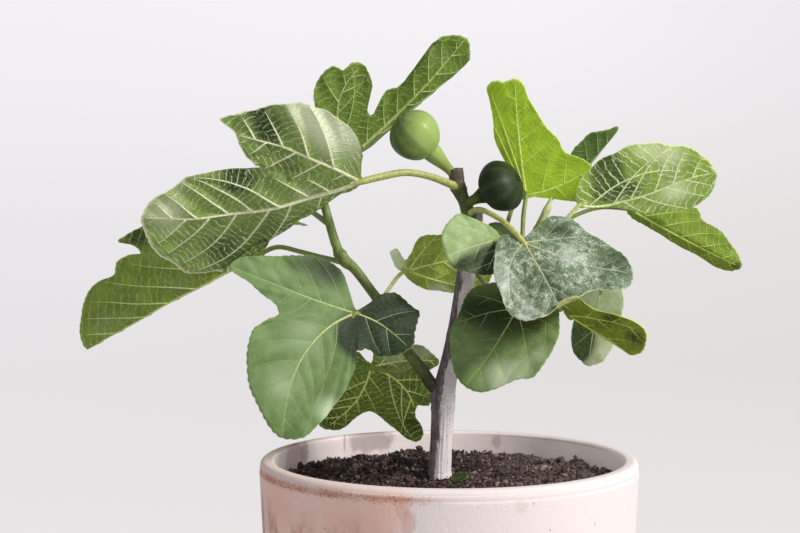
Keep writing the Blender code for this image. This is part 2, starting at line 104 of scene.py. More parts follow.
def fan_faces(pole, ring, columns, closes_end):
    """Three-cornered faces from a pole to a ring of points, at the end of the rings or at their start."""
    here = ring + np.arange(columns)
    after = ring + (np.arange(columns) + 1) % columns
    pair = (here, after) if closes_end else (after, here)
    return np.stack([*pair, np.full(columns, pole)], -1)


def closed_rings(rings, start, end):
    """Rings of points, shape (rows, columns, 3), closed with a pole at each end: points and faces."""
    rows, columns = rings.shape[:2]
    points = np.concatenate([rings.reshape(-1, 3), [start, end]])
    last = (rows - 1) * columns
    faces = [
        ring_faces(rows, columns),
        fan_faces(rows * columns, 0, columns, False),
        fan_faces(rows * columns + 1, last, columns, True),
    ]
    return points, faces


def new_mesh(name, points, faces, materials, slots=None, smooth=True):
    """A mesh from arrays of points and of face corners. Each array of faces may have a slot of its own."""
    mesh = bpy.data.meshes.new(name)
    corners = np.concatenate([part.ravel() for part in faces])
    sizes = np.concatenate([np.full(len(part), part.shape[1]) for part in faces])
    mesh.vertices.add(len(points))
    mesh.vertices.foreach_set("co", np.asarray(points, np.float32).ravel())
    mesh.loops.add(len(corners))
    mesh.loops.foreach_set("vertex_index", corners.astype(np.int32))
    mesh.polygons.add(len(sizes))
    mesh.polygons.foreach_set("loop_start", (np.cumsum(sizes) - sizes).astype(np.int32))
    for material in materials:
        mesh.materials.append(material)
    if slots is not None:
        slot_of_face = np.concatenate([np.full(len(part), slot) for part, slot in zip(faces, slots)])
        mesh.polygons.foreach_set("material_index", slot_of_face.astype(np.int32))
    mesh.update(calc_edges=True)
    if smooth:
        mesh.shade_smooth()
    else:
        mesh.shade_flat()
    return mesh


def new_piece(name, points, faces, materials, slots=None, replaces=(), smooth=True):
    """A new piece of such a mesh, which rides with the whole plant."""
    piece = bpy.data.objects.new(name, new_mesh(name, points, faces, materials, slots, smooth))
    bpy.context.scene.collection.objects.link(piece)
    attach(piece, "root")
    if replaces:
        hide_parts(*replaces)
    return piece


def paint(red, green, blue):
    """A colour as the shader takes it, from its values of 0 to 255 as printed: the sRGB curve undone."""
    share = np.array([red, green, blue]) / 255
    return (*((share + 0.055) / 1.055) ** 2.4, 1)


def new_material(name, roughness, **sockets):
    """A material with one Principled shader, whose plain values are set on the shader itself."""
    material = bpy.data.materials.new(name)
    material.use_nodes = True
    shader = material.node_tree.nodes["Principled BSDF"]
    shader.inputs["Roughness"].default_value = roughness
    for socket, value in sockets.items():
        shader.inputs[socket.replace("_", " ")].default_value = value
    return material, material.node_tree, shader


def connect(tree, socket, value):
    """Links an output to a socket, or sets the socket to a plain value."""
    if isinstance(value, bpy.types.NodeSocket):
        tree.links.new(value, socket)
    else:
        socket.default_value = value


def calc(tree, operation, *values):
    """A Math node on outputs or plain numbers."""
    node = tree.nodes.new("ShaderNodeMath")
    node.operation = operation
    for socket, value in zip(node.inputs, values):
        connect(tree, socket, value)
    return node.outputs[0]


def times(tree, *values):
    """The product of outputs and plain numbers, taken in one after the other."""
    return reduce(lambda product, value: calc(tree, "MULTIPLY", product, value), values)


def plus(tree, *values):
    """The sum of outputs and plain numbers, taken in one after the other."""
    return reduce(lambda total, value: calc(tree, "ADD", total, value), values)


def swing(tree, value, size):
    """A value of 0 to 1 made to swing about 0, over the given size."""
    return times(tree, calc(tree, "SUBTRACT", value, 0.5), size)


def gap(tree, value, level):
    """How far a value lies from a level, either way."""
    return calc(tree, "ABSOLUTE", calc(tree, "SUBTRACT", value, level))


def ramp(tree, value, low, high, out_low=0.0, out_high=1.0):
    """A smooth step from out_low to out_high as the value goes from low to high."""
    node = tree.nodes.new("ShaderNodeMapRange")
    node.interpolation_type = "SMOOTHSTEP"
    for socket, given in zip(node.inputs, (value, low, high, out_low, out_high)):
        connect(tree, socket, given)
    return node.outputs[0]


def blend(tree, factor, first, second):
    """A colour mixed between two others."""
    node = tree.nodes.new("ShaderNodeMix")
    node.data_type = "RGBA"
    connect(tree, node.inputs["Factor"], factor)
    connect(tree, node.inputs["A"], first)
    connect(tree, node.inputs["B"], second)
    return next(output for output in node.outputs if output.type == "RGBA")


def coat(tree, colour, tint, *shares):
    """The colour with a tint laid over it, as thick as the product of the masks and plain shares."""
    return blend(tree, times(tree, *shares), colour, tint)


def noise(tree, vector, scale, detail=2.0, roughness=0.5):
    """Cloudy noise of 0 to 1, with about scale clouds to the unit of the vector."""
    node = tree.nodes.new("ShaderNodeTexNoise")
    connect(tree, node.inputs["Vector"], vector)
    node.inputs["Scale"].default_value = scale
    node.inputs["Detail"].default_value = detail
    node.inputs["Roughness"].default_value = roughness
    return node.outputs["Fac"]


def cells(tree, vector, scale, feature="F1"):
    """How far a point lies from the nearest cell's middle, or from the nearest edge between two cells."""
    node = tree.nodes.new("ShaderNodeTexVoronoi")
    node.feature = feature
    connect(tree, node.inputs["Vector"], vector)
    node.inputs["Scale"].default_value = scale
    return node.outputs["Distance"]


def stretched(tree, vector, scale, place=(0, 0, 0)):
    """The coordinates moved to a place and scaled along each axis."""
    node = tree.nodes.new("ShaderNodeMapping")
    connect(tree, node.inputs["Vector"], vector)
    node.inputs["Scale"].default_value = scale
    node.inputs["Location"].default_value = place
    return node.outputs["Vector"]


def object_place(tree):
    """The place on the piece in metres, the same from every view."""
    return tree.nodes.new("ShaderNodeTexCoord").outputs["Object"]


def relief(tree, shader, height, depth):
    """Small relief on the shader's normal, depth metres from the lowest height to the highest."""
    bump = tree.nodes.new("ShaderNodeBump")
    bump.inputs["Distance"].default_value = depth
    tree.links.new(height, bump.inputs["Height"])
    tree.links.new(bump.outputs["Normal"], shader.inputs["Normal"])


def split(tree, vector):
    """The three parts of a vector."""
    node = tree.nodes.new("ShaderNodeSeparateXYZ")
    connect(tree, node.inputs[0], vector)
    return node.outputs


def pot_radius(height):
    """The pot's outer radius: nearly upright below the rim, drawn in by a square toward the foot."""
    upright = (height - WAIST_HEIGHT) / (BAND_FOOT - WAIST_HEIGHT)
    lower = np.maximum(WAIST_HEIGHT - height, 0) / WAIST_HEIGHT
    drawn_in = (WAIST_RADIUS - FOOT_RADIUS - FOOT_ROUND / 2) * lower**2
    return WAIST_RADIUS + (SHOULDER_RADIUS - WAIST_RADIUS) * np.maximum(upright, 0) - drawn_in


def arc(centre, radius, start, end, count):
    """Points of an arc in the profile's plane, from one angle to another in degrees."""
    angles = np.radians(np.linspace(start, end, count))
    return np.column_stack([centre[0] + radius * np.cos(angles), centre[1] + radius * np.sin(angles)])


def straight(start, end, count):
    """Points on a straight line, without its end."""
    return np.linspace(start, end, count + 1)[:-1]


def pot_profile():
    """Radius and height from the middle of the underside, up the outside, over the rim and down the inside to
    the middle of the floor. The groove and the band above it rise by a smooth step."""
    inner_rim = RIM_RADIUS - POT_WALL
    outer_levels = np.linspace(WAIST_HEIGHT * 0.45, BAND_FOOT - 0.001, 46)
    foot_top = (pot_radius(FOOT_ROUND * 1.4), FOOT_ROUND * 1.4)
    rise = np.linspace(0, 1, 14)
    outwards = np.clip((rise - 0.35) / 0.65, 0, 1)
    groove = (SHOULDER_RADIUS + (RIM_RADIUS - SHOULDER_RADIUS) * outwards**2 * (3 - 2 * outwards)
              - GROOVE_DEPTH * np.sin(np.pi * np.minimum(rise / 0.75, 1)) ** 2)
    inner_levels = np.linspace(POT_HEIGHT - 0.0045, POT_FLOOR + 0.010, 44)
    parts = [
        straight((UNDERSIDE_POLE, 0), (FOOT_RADIUS, 0), 10),
        arc((FOOT_RADIUS, FOOT_ROUND), FOOT_ROUND, -90, -6, 9),
        np.array([foot_top]),
        np.column_stack([pot_radius(outer_levels), outer_levels]),
        np.column_stack([groove, BAND_FOOT + BAND_RISE * rise]),
        arc((RIM_RADIUS - LIP_ROUND, POT_HEIGHT - LIP_ROUND), LIP_ROUND, 0, 90, 10),
        arc((inner_rim + INNER_LIP_ROUND, POT_HEIGHT - INNER_LIP_ROUND), INNER_LIP_ROUND, 90, 180, 8),
        np.column_stack([np.minimum(pot_radius(inner_levels) - POT_WALL, inner_rim), inner_levels]),
        straight((FLOOR_RADIUS, POT_FLOOR), (FLOOR_POLE, POT_FLOOR), 10),
    ]
    return np.concatenate(parts)


def pot_rings(profile):
    """Each point of the profile turned round the Z axis, a little out of round, as a hand leaves it."""
    turn = full_turn(POT_SIDES)
    waves = np.sin(2 * turn + 0.6) + 0.6 * np.sin(3 * turn + 2.1) + 0.4 * np.sin(7 * turn + 4)
    upper_share = np.clip(profile[:, 1:] / POT_HEIGHT, 0, 1)
    radius = profile[:, :1] * (1 + OUT_OF_ROUND * waves / RIM_RADIUS * upper_share)
    height = np.broadcast_to(profile[:, 1:], radius.shape)
    return np.stack([radius * np.cos(turn), radius * np.sin(turn), height], -1)


PALE_CLAY = paint(242, 230, 228)
PINK_CLAY = paint(248, 204, 188)
# The inner wall's paler clay is painted light.
INNER_CLAY_PAINTED_LIGHT = paint(254, 239, 234)
RUST_CLAY = paint(186, 122, 98)
ORANGE_CLAY = paint(206, 142, 110)
DAMP_AND_SHADOW_GREY = paint(150, 124, 116)
BROWN_DAMP = paint(164, 118, 94)
SPECK_BROWN = paint(140, 66, 46)
CRACK_AND_SHADE_BROWN = paint(126, 100, 92)


def soft_patch(tree, place, middle, size):
    """1 in the middle of a soft-edged patch of the given size along each axis, torn a little by noise."""
    away = tree.nodes.new("ShaderNodeVectorMath")
    away.operation = "LENGTH"
    scale = tuple(1 / length for length in size)
    shift = tuple(-at / length for at, length in zip(middle, size))
    connect(tree, away.inputs[0], stretched(tree, place, scale, shift))
    torn = swing(tree, noise(tree, place, 130, 4, 0.6), 1.1)
    return ramp(tree, plus(tree, away.outputs["Value"], torn), 1.1, 0.6)


def bare_clay(tree, height, clouds, grain, pale_side):
    """Pink clay, paler on the right, with chalk that has come through in clouds and all along the lip."""
    colour = blend(tree, pale_side, PINK_CLAY, PALE_CLAY)
    chalk = ramp(tree, plus(tree, clouds, times(tree, grain, 0.35)), 0.58, 0.85)
    colour = coat(tree, colour, PALE_CLAY, chalk, 0.6)
    lip = ramp(tree, height, BAND_FOOT + 0.0040, BAND_FOOT + 0.0060)
    return coat(tree, colour, PALE_CLAY, lip, 0.55)


def rusted(tree, colour, place, grain, pale_side, outside):
    """The colour with clouds of rust below the band, a rusty line and brown specks in the hollow under the
    lip at the left front, and a few specks astray on the whole outside."""
    x, y, height = split(tree, place)
    clouds = noise(tree, stretched(tree, place, (1, 1, 0.6)), 34, 6, 0.65)
    rust = ramp(tree, plus(tree, clouds, times(tree, grain, 0.3)), 0.56, 0.84)
    low = ramp(tree, height, BAND_FOOT - 0.003, BAND_FOOT - 0.030)
    bare = calc(tree, "SUBTRACT", 1, pale_side)
    colour = coat(tree, colour, RUST_CLAY, rust, low, bare, outside, 0.80)
    to_hollow = gap(tree, height, BAND_FOOT + 0.0020)
    left_front = times(tree, ramp(tree, x, 0.015, -0.045), ramp(tree, y, 0.02, -0.02), outside)
    patchy = ramp(tree, noise(tree, place, 45, 4), 0.35, 0.62, 0.45, 1.0)
    in_hollow = ramp(tree, to_hollow, 0.0030, 0.0010)
    colour = coat(tree, colour, RUST_CLAY, in_hollow, left_front, patchy, 0.75)
    by_hollow = ramp(tree, to_hollow, 0.0048, 0.0015)
    specks = ramp(tree, cells(tree, stretched(tree, place, (1, 1, 1.4)), 430), 0.42, 0.20)
    colour = coat(tree, colour, SPECK_BROWN, by_hollow, specks, patchy, left_front, 0.8)
    stray = ramp(tree, cells(tree, stretched(tree, place, (1, 1, 0.8)), 95), 0.085, 0.045)
    return coat(tree, colour, SPECK_BROWN, stray, outside, 0.4)


def damp_light_and_shade_inside(tree, colour, place, inside):
    """The colour turned paler on the inner wall, as painted light for the light that the walls throw on each
    other, with grey damp clouds and a fine dark line of painted shade under the lip at the right back."""
    x, y, height = split(tree, place)
    # Painted light: the inner wall is painted paler than the outside.
    colour = blend(tree, inside, colour, INNER_CLAY_PAINTED_LIGHT)
    damp = ramp(tree, noise(tree, place, 22, 4), 0.50, 0.68, 0, 0.20)
    colour = coat(tree, colour, DAMP_AND_SHADOW_GREY, inside, damp)
    # Painted shade: a fine dark line where shade lies under the lip at the right back.
    under_lip = ramp(tree, gap(tree, height, POT_HEIGHT - 0.0022), 0.0012, 0.0003)
    right_back = times(tree, ramp(tree, x, 0.0, 0.05), ramp(tree, y, 0.03, 0.06))
    return coat(tree, colour, CRACK_AND_SHADE_BROWN, inside, under_lip, right_back, 0.35)


def clay_material():
    """Unglazed clay, bare, rusted and damp in turn, with painted light and shade on the inner wall, and single
    stains and one painted shadow on top. A slight glow on the inner wall stands for the light that the pale
    walls throw on each other."""
    material, tree, shader = new_material("fired_clay", 0.85, Specular_IOR_Level=0.25,
                                          Emission_Strength=WALL_GLOW)
    place = object_place(tree)
    x, y, height = split(tree, place)
    clouds = noise(tree, place, 16, 5, 0.55)
    grain = noise(tree, stretched(tree, place, (1, 1, 0.45)), 420, 3, 0.7)
    fine = noise(tree, place, 1500, 2, 0.6)
    pale_side = ramp(tree, plus(tree, x, times(tree, clouds, 0.070)), -0.004, 0.018)
    outside = ramp(tree, plus(tree, times(tree, x, x), times(tree, y, y)), 0.0146, 0.0152)
    below_top = ramp(tree, height, POT_HEIGHT, POT_HEIGHT - 0.001)
    inside = times(tree, calc(tree, "SUBTRACT", 1, outside), below_top)
    colour = bare_clay(tree, height, clouds, grain, pale_side)
    colour = rusted(tree, colour, place, grain, pale_side, outside)
    colour = damp_light_and_shade_inside(tree, colour, place, inside)
    for middle, size, strength, tint in CLAY_STAINS_AND_SHADOW:
        colour = coat(tree, colour, tint, soft_patch(tree, place, middle, size), strength)
    connect(tree, shader.inputs["Base Color"], colour)
    bounced = blend(tree, 0.6, colour, (0.95, 0.90, 1, 1))
    connect(tree, shader.inputs["Emission Color"], blend(tree, inside, (0, 0, 0, 1), bounced))
    connect(tree, shader.inputs["Roughness"], ramp(tree, grain, 0.3, 0.8, 0.78, 0.95))
    pits = times(tree, ramp(tree, cells(tree, place, 900), 0.25, 0.10), -0.5)
    relief(tree, shader, plus(tree, grain, pits, times(tree, fine, 0.4)), 0.00025)
    return material


# Each patch has its middle and its size along each axis in metres, its strength and its colour. All are stains
# except the large grey one on the inner back wall, which is a painted shadow.
CLAY_STAINS_AND_SHADOW = [
    ((-0.0285, -0.126, 0.215), (0.0048, 0.030, 0.010), 0.30, ORANGE_CLAY),
    ((-0.0245, -0.126, 0.206), (0.0050, 0.030, 0.010), 0.36, ORANGE_CLAY),
    ((0.045, -0.121, 0.2155), (0.0045, 0.030, 0.0055), 0.13, RUST_CLAY),
    ((-0.110, 0.047, 0.216), (0.010, 0.022, 0.020), 0.60, BROWN_DAMP),
    ((-0.104, 0.058, 0.220), (0.0030, 0.016, 0.012), 0.40, CRACK_AND_SHADE_BROWN),
    ((-0.077, 0.091, 0.222), (0.0009, 0.014, 0.0075), 0.45, CRACK_AND_SHADE_BROWN),
    # Painted shadow: a grey patch on the inner back wall where a shadow falls on it.
    ((-0.058, 0.102, 0.2215), (0.021, 0.022, 0.0105), 0.62, DAMP_AND_SHADOW_GREY),
    ((0.036, 0.114, 0.220), (0.0040, 0.018, 0.0060), 0.40, CRACK_AND_SHADE_BROWN),
]
points, faces = closed_rings(pot_rings(pot_profile()), (0, 0, 0), (0, 0, POT_FLOOR))
new_piece("pot_clay", points, faces, [clay_material()], replaces=["pot"])


# The soil is dark peaty compost that fills the pot to just under its rim. Its top is crumbly, heaped a
# little round the stem, with clods, pale grit and bits of root fibre lying loose on it.
SOIL_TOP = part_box("soil")[1][2]
SOIL_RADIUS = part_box("soil")[1][0]
SOIL_RINGS = 130
SOIL_SIDES = 480
LUMPS = 560
CRUMBS = 14000
CLODS = 900
GRIT = 260
FIBRES = 260
LUMP_WIDTHS = (0.0020, 0.0075)
LUMP_RISES = (-0.22, 0.50)
SETTLED = 0.0006
STEM_RISE = 0.0016
STEM_RISE_REACH = 0.25
WALL_DIP = 0.0010
BED_FOOT = POT_FLOOR + 0.0004
BED_GAP = 0.0008
soil_seed = np.random.default_rng(11)
lump_place = soil_seed.uniform(-SOIL_RADIUS, SOIL_RADIUS, (LUMPS, 2))
lump_width = soil_seed.uniform(*LUMP_WIDTHS, LUMPS)
lump_height = lump_width * soil_seed.uniform(*LUMP_RISES, LUMPS)


def soil_height(x, y):
    """The bed's height: round lumps and hollows added up on the settled level, a slight rise round the stem,
    and a dip at the wall."""
    height = np.full(x.shape, -SETTLED)
    for (lump_x, lump_y), width, rise in zip(lump_place, lump_width, lump_height):
        away = (x - lump_x) ** 2 + (y - lump_y) ** 2
        height += rise * np.exp(-away / width**2)
    reach = np.hypot(x, y) / SOIL_RADIUS
    stem_rise = STEM_RISE * np.exp(-(reach / STEM_RISE_REACH) ** 2)
    return SOIL_TOP + height + stem_rise - WALL_DIP * np.clip(reach, 0, 1) ** 8


def soil_bed():
    """Rings of the lumpy top from the wall to the middle, closed below along the pot's inner wall."""
    turn = full_turn(SOIL_SIDES)
    levels = np.array([BED_FOOT, 0.020, 0.035, WAIST_HEIGHT, 0.100, 0.140, 0.180, SOIL_TOP - 0.010])
    wall_radii = np.concatenate([[FLOOR_RADIUS - 0.001], pot_radius(levels[1:]) - POT_WALL - BED_GAP])
    shares = np.linspace(1, 0.01, SOIL_RINGS)
    radii = np.concatenate([wall_radii, SOIL_RADIUS * shares])
    x = radii[:, None] * np.cos(turn)
    y = radii[:, None] * np.sin(turn)
    z = np.concatenate([np.broadcast_to(levels[:, None], (len(levels), SOIL_SIDES)),
                        soil_height(x[len(levels):], y[len(levels):])])
    middle = soil_height(np.zeros(1), np.zeros(1))[0]
    return closed_rings(np.stack([x, y, z], -1), (0, 0, BED_FOOT), (0, 0, middle))


def ball_shape():
    """The twelve corners and twenty faces of a regular ball of triangles: each three corners that are all
    next to each other make a face, turned to look outwards."""
    golden = (1 + math.sqrt(5)) / 2
    corners = np.array([(-1, golden, 0), (1, golden, 0), (-1, -golden, 0), (1, -golden, 0),
                        (0, -1, golden), (0, 1, golden), (0, -1, -golden), (0, 1, -golden),
                        (golden, 0, -1), (golden, 0, 1), (-golden, 0, -1), (-golden, 0, 1)])
    near = np.linalg.norm(corners[:, None] - corners[None], axis=-1) < 2.1
    faces = np.array([(a, b, c) for a in range(12) for b in range(a + 1, 12) for c in range(b + 1, 12)
                      if near[a, b] and near[b, c] and near[a, c]])
    first, second, third = (corners[faces[:, i]] for i in range(3))
    inward = (np.cross(second - first, third - first) * first).sum(-1) < 0
    faces[inward] = faces[inward][:, ::-1]
    return corners / np.linalg.norm(corners[0]), faces


def random_turns(seed, count):
    """Rotation matrices from random unit quaternions."""
    w, x, y, z = seed.normal(size=(count, 4)).T
    size = np.sqrt(w * w + x * x + y * y + z * z)
    w, x, y, z = w / size, x / size, y / size, z / size
    rows = [
        [1 - 2 * (y * y + z * z), 2 * (x * y - w * z), 2 * (x * z + w * y)],
        [2 * (x * y + w * z), 1 - 2 * (x * x + z * z), 2 * (y * z - w * x)],
        [2 * (x * z - w * y), 2 * (y * z + w * x), 1 - 2 * (x * x + y * y)],
    ]
    return np.moveaxis(np.array(rows), -1, 0)


def flake_shape():
    """The six corners and eight faces of a double pyramid."""
    corners = np.array([(1, 0, 0), (0, 1, 0), (-1, 0, 0), (0, -1, 0), (0, 0, 1), (0, 0, -1)], float)
    top = [(i, (i + 1) % 4, 4) for i in range(4)]
    bottom = [((i + 1) % 4, i, 5) for i in range(4)]
    return corners, np.array(top + bottom)


def scattered_crumbs(seed, count, smallest, largest, shape, long):
    """Small solids of one shape, each knocked out of shape, squashed and turned, resting in the bed's top:
    points, faces and a shade for each point. Long stretches them along their first axis."""
    corners, faces = shape
    size = smallest + (largest - smallest) * seed.random(count) ** 3
    reach = np.sqrt(seed.random(count)) * (SOIL_RADIUS - 0.0012 - size * long)
    turn = seed.uniform(0, 2 * np.pi, count)
    x, y = reach * np.cos(turn), reach * np.sin(turn)
    knocked = corners * seed.uniform(0.60, 1.25, (count, len(corners), 1))
    knocked = knocked * (size[:, None] * seed.uniform(0.6, 1.2, (count, 3)) * (long, 1, 1))[:, None]
    knocked = np.einsum("nij,nkj->nki", random_turns(seed, count), knocked)
    middle = np.stack([x, y, soil_height(x, y) + size * seed.uniform(0.1, 0.9, count)], -1)
    points = (knocked + middle[:, None]).reshape(-1, 3)
    numbers = (faces[None] + len(corners) * np.arange(count)[:, None, None]).reshape(-1, 3)
    return points, numbers, np.repeat(seed.random(count), len(corners))


def shade_attribute(piece, name, values):
    """A number for each of the piece's points, under a name that its material reads."""
    layer = piece.data.attributes.new(name, "FLOAT", "POINT")
    layer.data.foreach_set("value", np.asarray(values, np.float32))


def attribute(tree, name, output="Fac"):
    """What the piece's attribute of that name says, as a number or, with Vector, as three."""
    node = tree.nodes.new("ShaderNodeAttribute")
    node.attribute_name = name
    return node.outputs[output]


SOIL_PAINTED_LIGHT = paint(150, 130, 124)


def soil_material(name, dark, middle, light):
    """Damp compost: near black in the hollows, purple-brown on the crumbs, each crumb of its own shade, and
    painted paler toward the sunny right side, which is painted light."""
    material, tree, shader = new_material(name, 0.9)
    place = object_place(tree)
    shade = plus(tree, times(tree, attribute(tree, "shade"), 0.75),
                 times(tree, noise(tree, place, 260, 4, 0.7), 0.45))
    colour = blend(tree, ramp(tree, shade, 0.25, 0.75), dark, middle)
    colour = blend(tree, ramp(tree, shade, 0.80, 1.02), colour, light)
    # Painted light: the soil turns paler toward the right, where the sun falls on it.
    sunny = ramp(tree, split(tree, place)[0], -0.01, 0.08, 0, 0.30)
    colour = blend(tree, sunny, colour, SOIL_PAINTED_LIGHT)
    connect(tree, shader.inputs["Base Color"], colour)
    relief(tree, shader, noise(tree, place, 1400, 4, 0.7), 0.0006)
    return material


SOIL_DARK = paint(27, 18, 17)
SOIL_MIDDLE = paint(92, 70, 66)
SOIL_LIGHT = paint(172, 146, 140)
soil_finish = soil_material("compost", SOIL_DARK, SOIL_MIDDLE, SOIL_LIGHT)
grit_finish = soil_material("pale_grit", paint(120, 96, 84), paint(170, 150, 138), paint(214, 200, 190))
points, faces = soil_bed()
bed = new_piece("soil_bed", points, faces, [soil_finish], replaces=["soil"])
shade_attribute(bed, "shade", np.full(len(points), 0.25))
# Loose bits: name, count, smallest and largest size, shape, stretch and finish.
SOIL_BITS = [
    ("soil_clods", CLODS, 0.0010, 0.0036, ball_shape(), 1.0, soil_finish),
    ("soil_crumbs", CRUMBS, 0.0004, 0.0017, flake_shape(), 1.5, soil_finish),
    ("soil_grit", GRIT, 0.0003, 0.0011, flake_shape(), 1.0, grit_finish),
    ("soil_fibres", FIBRES, 0.00018, 0.0004, flake_shape(), 12, grit_finish),
]
for bit_name, count, smallest, largest, shape, long, finish in SOIL_BITS:
    points, faces, shades = scattered_crumbs(soil_seed, count, smallest, largest, shape, long)
    bits = new_piece(bit_name, points, [faces], [finish], smooth=False)
    shade_attribute(bits, "shade", shades)


# The trunk is an old cutting: grey bark with fine upright fibres and pale pores, swollen where the first
# branch left it, and a short brown stub at the top where the tip was cut off flat.
TRUNK_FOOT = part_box("trunk")[0][2]
TRUNK_ROUTE = [
    (-0.006, -0.005, TRUNK_FOOT - 0.006), (-0.006, -0.005, TRUNK_FOOT + 0.003),
    (-0.006, -0.005, TRUNK_FOOT + 0.007), (-0.005, -0.005, 0.240), (-0.004, -0.005, 0.262),
    (-0.004, -0.005, 0.270), (-0.002, -0.004, 0.279), (0.005, -0.002, 0.311), (0.012, 0.002, 0.354),
    (0.017, 0.005, 0.383), (0.019, 0.006, 0.397),
]
TRUNK_RADII = [0.0094, 0.0082, 0.0077, 0.0073, 0.0078, 0.0088, 0.0072, 0.0063, 0.0060, 0.0055, 0.0042]
ROUTE_STEPS = 9
LIMB_DOME = 0.15
FIBRE_WAVES = 14


def smooth_route(points, radii, steps):
    """A Catmull-Rom curve through the points, with the radii following the same rule."""
    given = np.column_stack([np.array(points, float), np.array(radii, float)])
    ends = np.vstack([2 * given[0] - given[1], given, 2 * given[-1] - given[-2]])
    before, start, end, after = (ends[i:len(ends) - 3 + i, None] for i in range(4))
    t = (np.arange(steps) / steps)[None, :, None]
    rows = 0.5 * (2 * start + (end - before) * t
                  + (2 * before - 5 * start + 4 * end - after) * t**2
                  + (3 * start - before - 3 * end + after) * t**3)
    return np.vstack([rows.reshape(-1, 4), given[-1]])


def unit(vectors):
    """The vectors made one metre long."""
    return vectors / np.linalg.norm(vectors, axis=-1, keepdims=True)


def walked_along(points):
    """How far each point of a line lies from the first, along the line."""
    return np.concatenate([[0], np.cumsum(np.linalg.norm(np.diff(points, axis=0), axis=1))])


def carried_rings(rows, sides, swell):
    """A ring of points about each row's place, square to the way the rows go. The ring's zero angle points
    square to the side hint, and swell(angle, walked) gives each point's share of the radius."""
    centres, radii = rows[:, :3], rows[:, 3]
    ahead = unit(np.gradient(centres, axis=0))
    first = unit(np.cross(ahead, SIDE_HINT))
    second = np.cross(ahead, first)
    turn = full_turn(sides)
    share = swell(turn[None, :], walked_along(centres)[:, None])
    spoke = first[:, None] * np.cos(turn)[:, None] + second[:, None] * np.sin(turn)[:, None]
    return centres[:, None] + spoke * (radii[:, None] * share)[..., None]


SIDE_HINT = (0.3, 1.0, 0.1)
SUN_SIDE = unit(np.array([0.86, -0.48, 0.10]))


def limb(name, route, radii, sides, swell, material, replaces):
    """A woody limb: rings carried along its route, closed by a low dome at each end. Its material learns how
    far along each point lies, and how much it faces the sun."""
    rows = smooth_route(route, radii, ROUTE_STEPS)
    rings = carried_rings(rows, sides, swell)
    tip = rows[-1, :3] + unit(rows[-1, :3] - rows[-2, :3]) * rows[-1, 3] * LIMB_DOME
    foot = rows[0, :3] - unit(rows[1, :3] - rows[0, :3]) * rows[0, 3] * LIMB_DOME
    points, faces = closed_rings(rings, foot, tip)
    piece = new_piece(name, points, faces, [material], replaces=replaces)
    walked = walked_along(rows[:, :3])
    along = np.repeat(walked / walked[-1], sides)
    shade_attribute(piece, "along", np.concatenate([along, [0, 1]]))
    sunward = (unit(rings - rows[:, None, :3]) @ SUN_SIDE).ravel()
    shade_attribute(piece, "sunward", np.concatenate([sunward, [0, 0]]))


def ridged(seed_number, ridges, rings=()):
    """A limb's surface as shares of its radius: fine fibres that wander as they climb, and rings, each given
    by its distance from the foot, its width and its rise, slanting a little round the limb."""
    seed = np.random.default_rng(seed_number)
    counts = seed.integers(5, 26, FIBRE_WAVES)
    phases = seed.uniform(0, 2 * np.pi, (3, FIBRE_WAVES))
    wanders = seed.uniform(40, 220, FIBRE_WAVES)

    def swell(turn, walked):
        share = np.ones(np.broadcast_shapes(turn.shape, walked.shape))
        for count, phase, drift, fade, wander in zip(counts, *phases, wanders):
            strength = 0.6 + 0.4 * np.sin(walked * wander + fade)
            drifted = count * turn + phase + 0.8 * np.sin(walked * wander + drift)
            share += ridges / 3.5 * strength * np.sin(drifted)
        for at, width, rise in rings:
            slanted = walked - at - 0.0012 * np.sin(turn + at * 900)
            share += rise * np.exp(-(slanted / width) ** 2)
        return share

    return swell


def bark_material():
    """Grey bark, painted nearly white in ragged upright streaks on the side that faces the sun, which is
    painted light and weaker higher up, with mauve-grey fibres over a darker ground on the other, round pores
    and dark scars."""
    material, tree, shader = new_material("grey_bark", 0.8, Specular_IOR_Level=0.3)
    place = object_place(tree)
    _, _, height = split(tree, place)
    fibres_seen = noise(tree, stretched(tree, place, (1, 1, 0.10)), 900, 4, 0.65)
    patches = noise(tree, stretched(tree, place, (1, 1, 0.35)), 130, 4, 0.6)
    colour = blend(tree, ramp(tree, fibres_seen, 0.35, 0.68), BARK_DARK, BARK_GREY)
    colour = coat(tree, colour, BARK_MIDDLE, ramp(tree, patches, 0.50, 0.68), 0.5)
    ragged = plus(tree, swing(tree, patches, 1.1), swing(tree, fibres_seen, 0.8))
    # Painted light: the side that faces the sun is painted nearly white, less of it higher up among the
    # leaves.
    painted_lit_side = ramp(tree, plus(tree, attribute(tree, "sunward"), ragged), 0.10, 0.42)
    lower = ramp(tree, height, 0.385, 0.335, 0.45, 1.0)
    colour = coat(tree, colour, BARK_PAINTED_LIGHT, painted_lit_side, lower)
    pores = ramp(tree, cells(tree, stretched(tree, place, (1, 1, 1.6)), 330), 0.26, 0.14)
    colour = coat(tree, colour, BARK_PORE, pores, 0.35)
    connect(tree, shader.inputs["Base Color"], colour)
    relief(tree, shader, plus(tree, fibres_seen, times(tree, pores, 0.5)), 0.0005)
    return material


BARK_DARK = paint(92, 78, 82)
BARK_GREY = paint(150, 134, 138)
BARK_MIDDLE = paint(176, 164, 164)
BARK_PAINTED_LIGHT = paint(238, 230, 230)
BARK_PORE = paint(84, 68, 66)
bark = bark_material()
# Rings on the trunk and shoots: metres from the foot, width, and rise as a share of the radius.
trunk_rings = [(0.055, 0.0016, 0.07), (0.063, 0.0010, -0.05), (0.105, 0.0009, 0.05), (0.148, 0.0010, 0.06)]
limb("trunk_bark", TRUNK_ROUTE, TRUNK_RADII, 72, ridged(3, 0.055, trunk_rings), bark, ["trunk"])


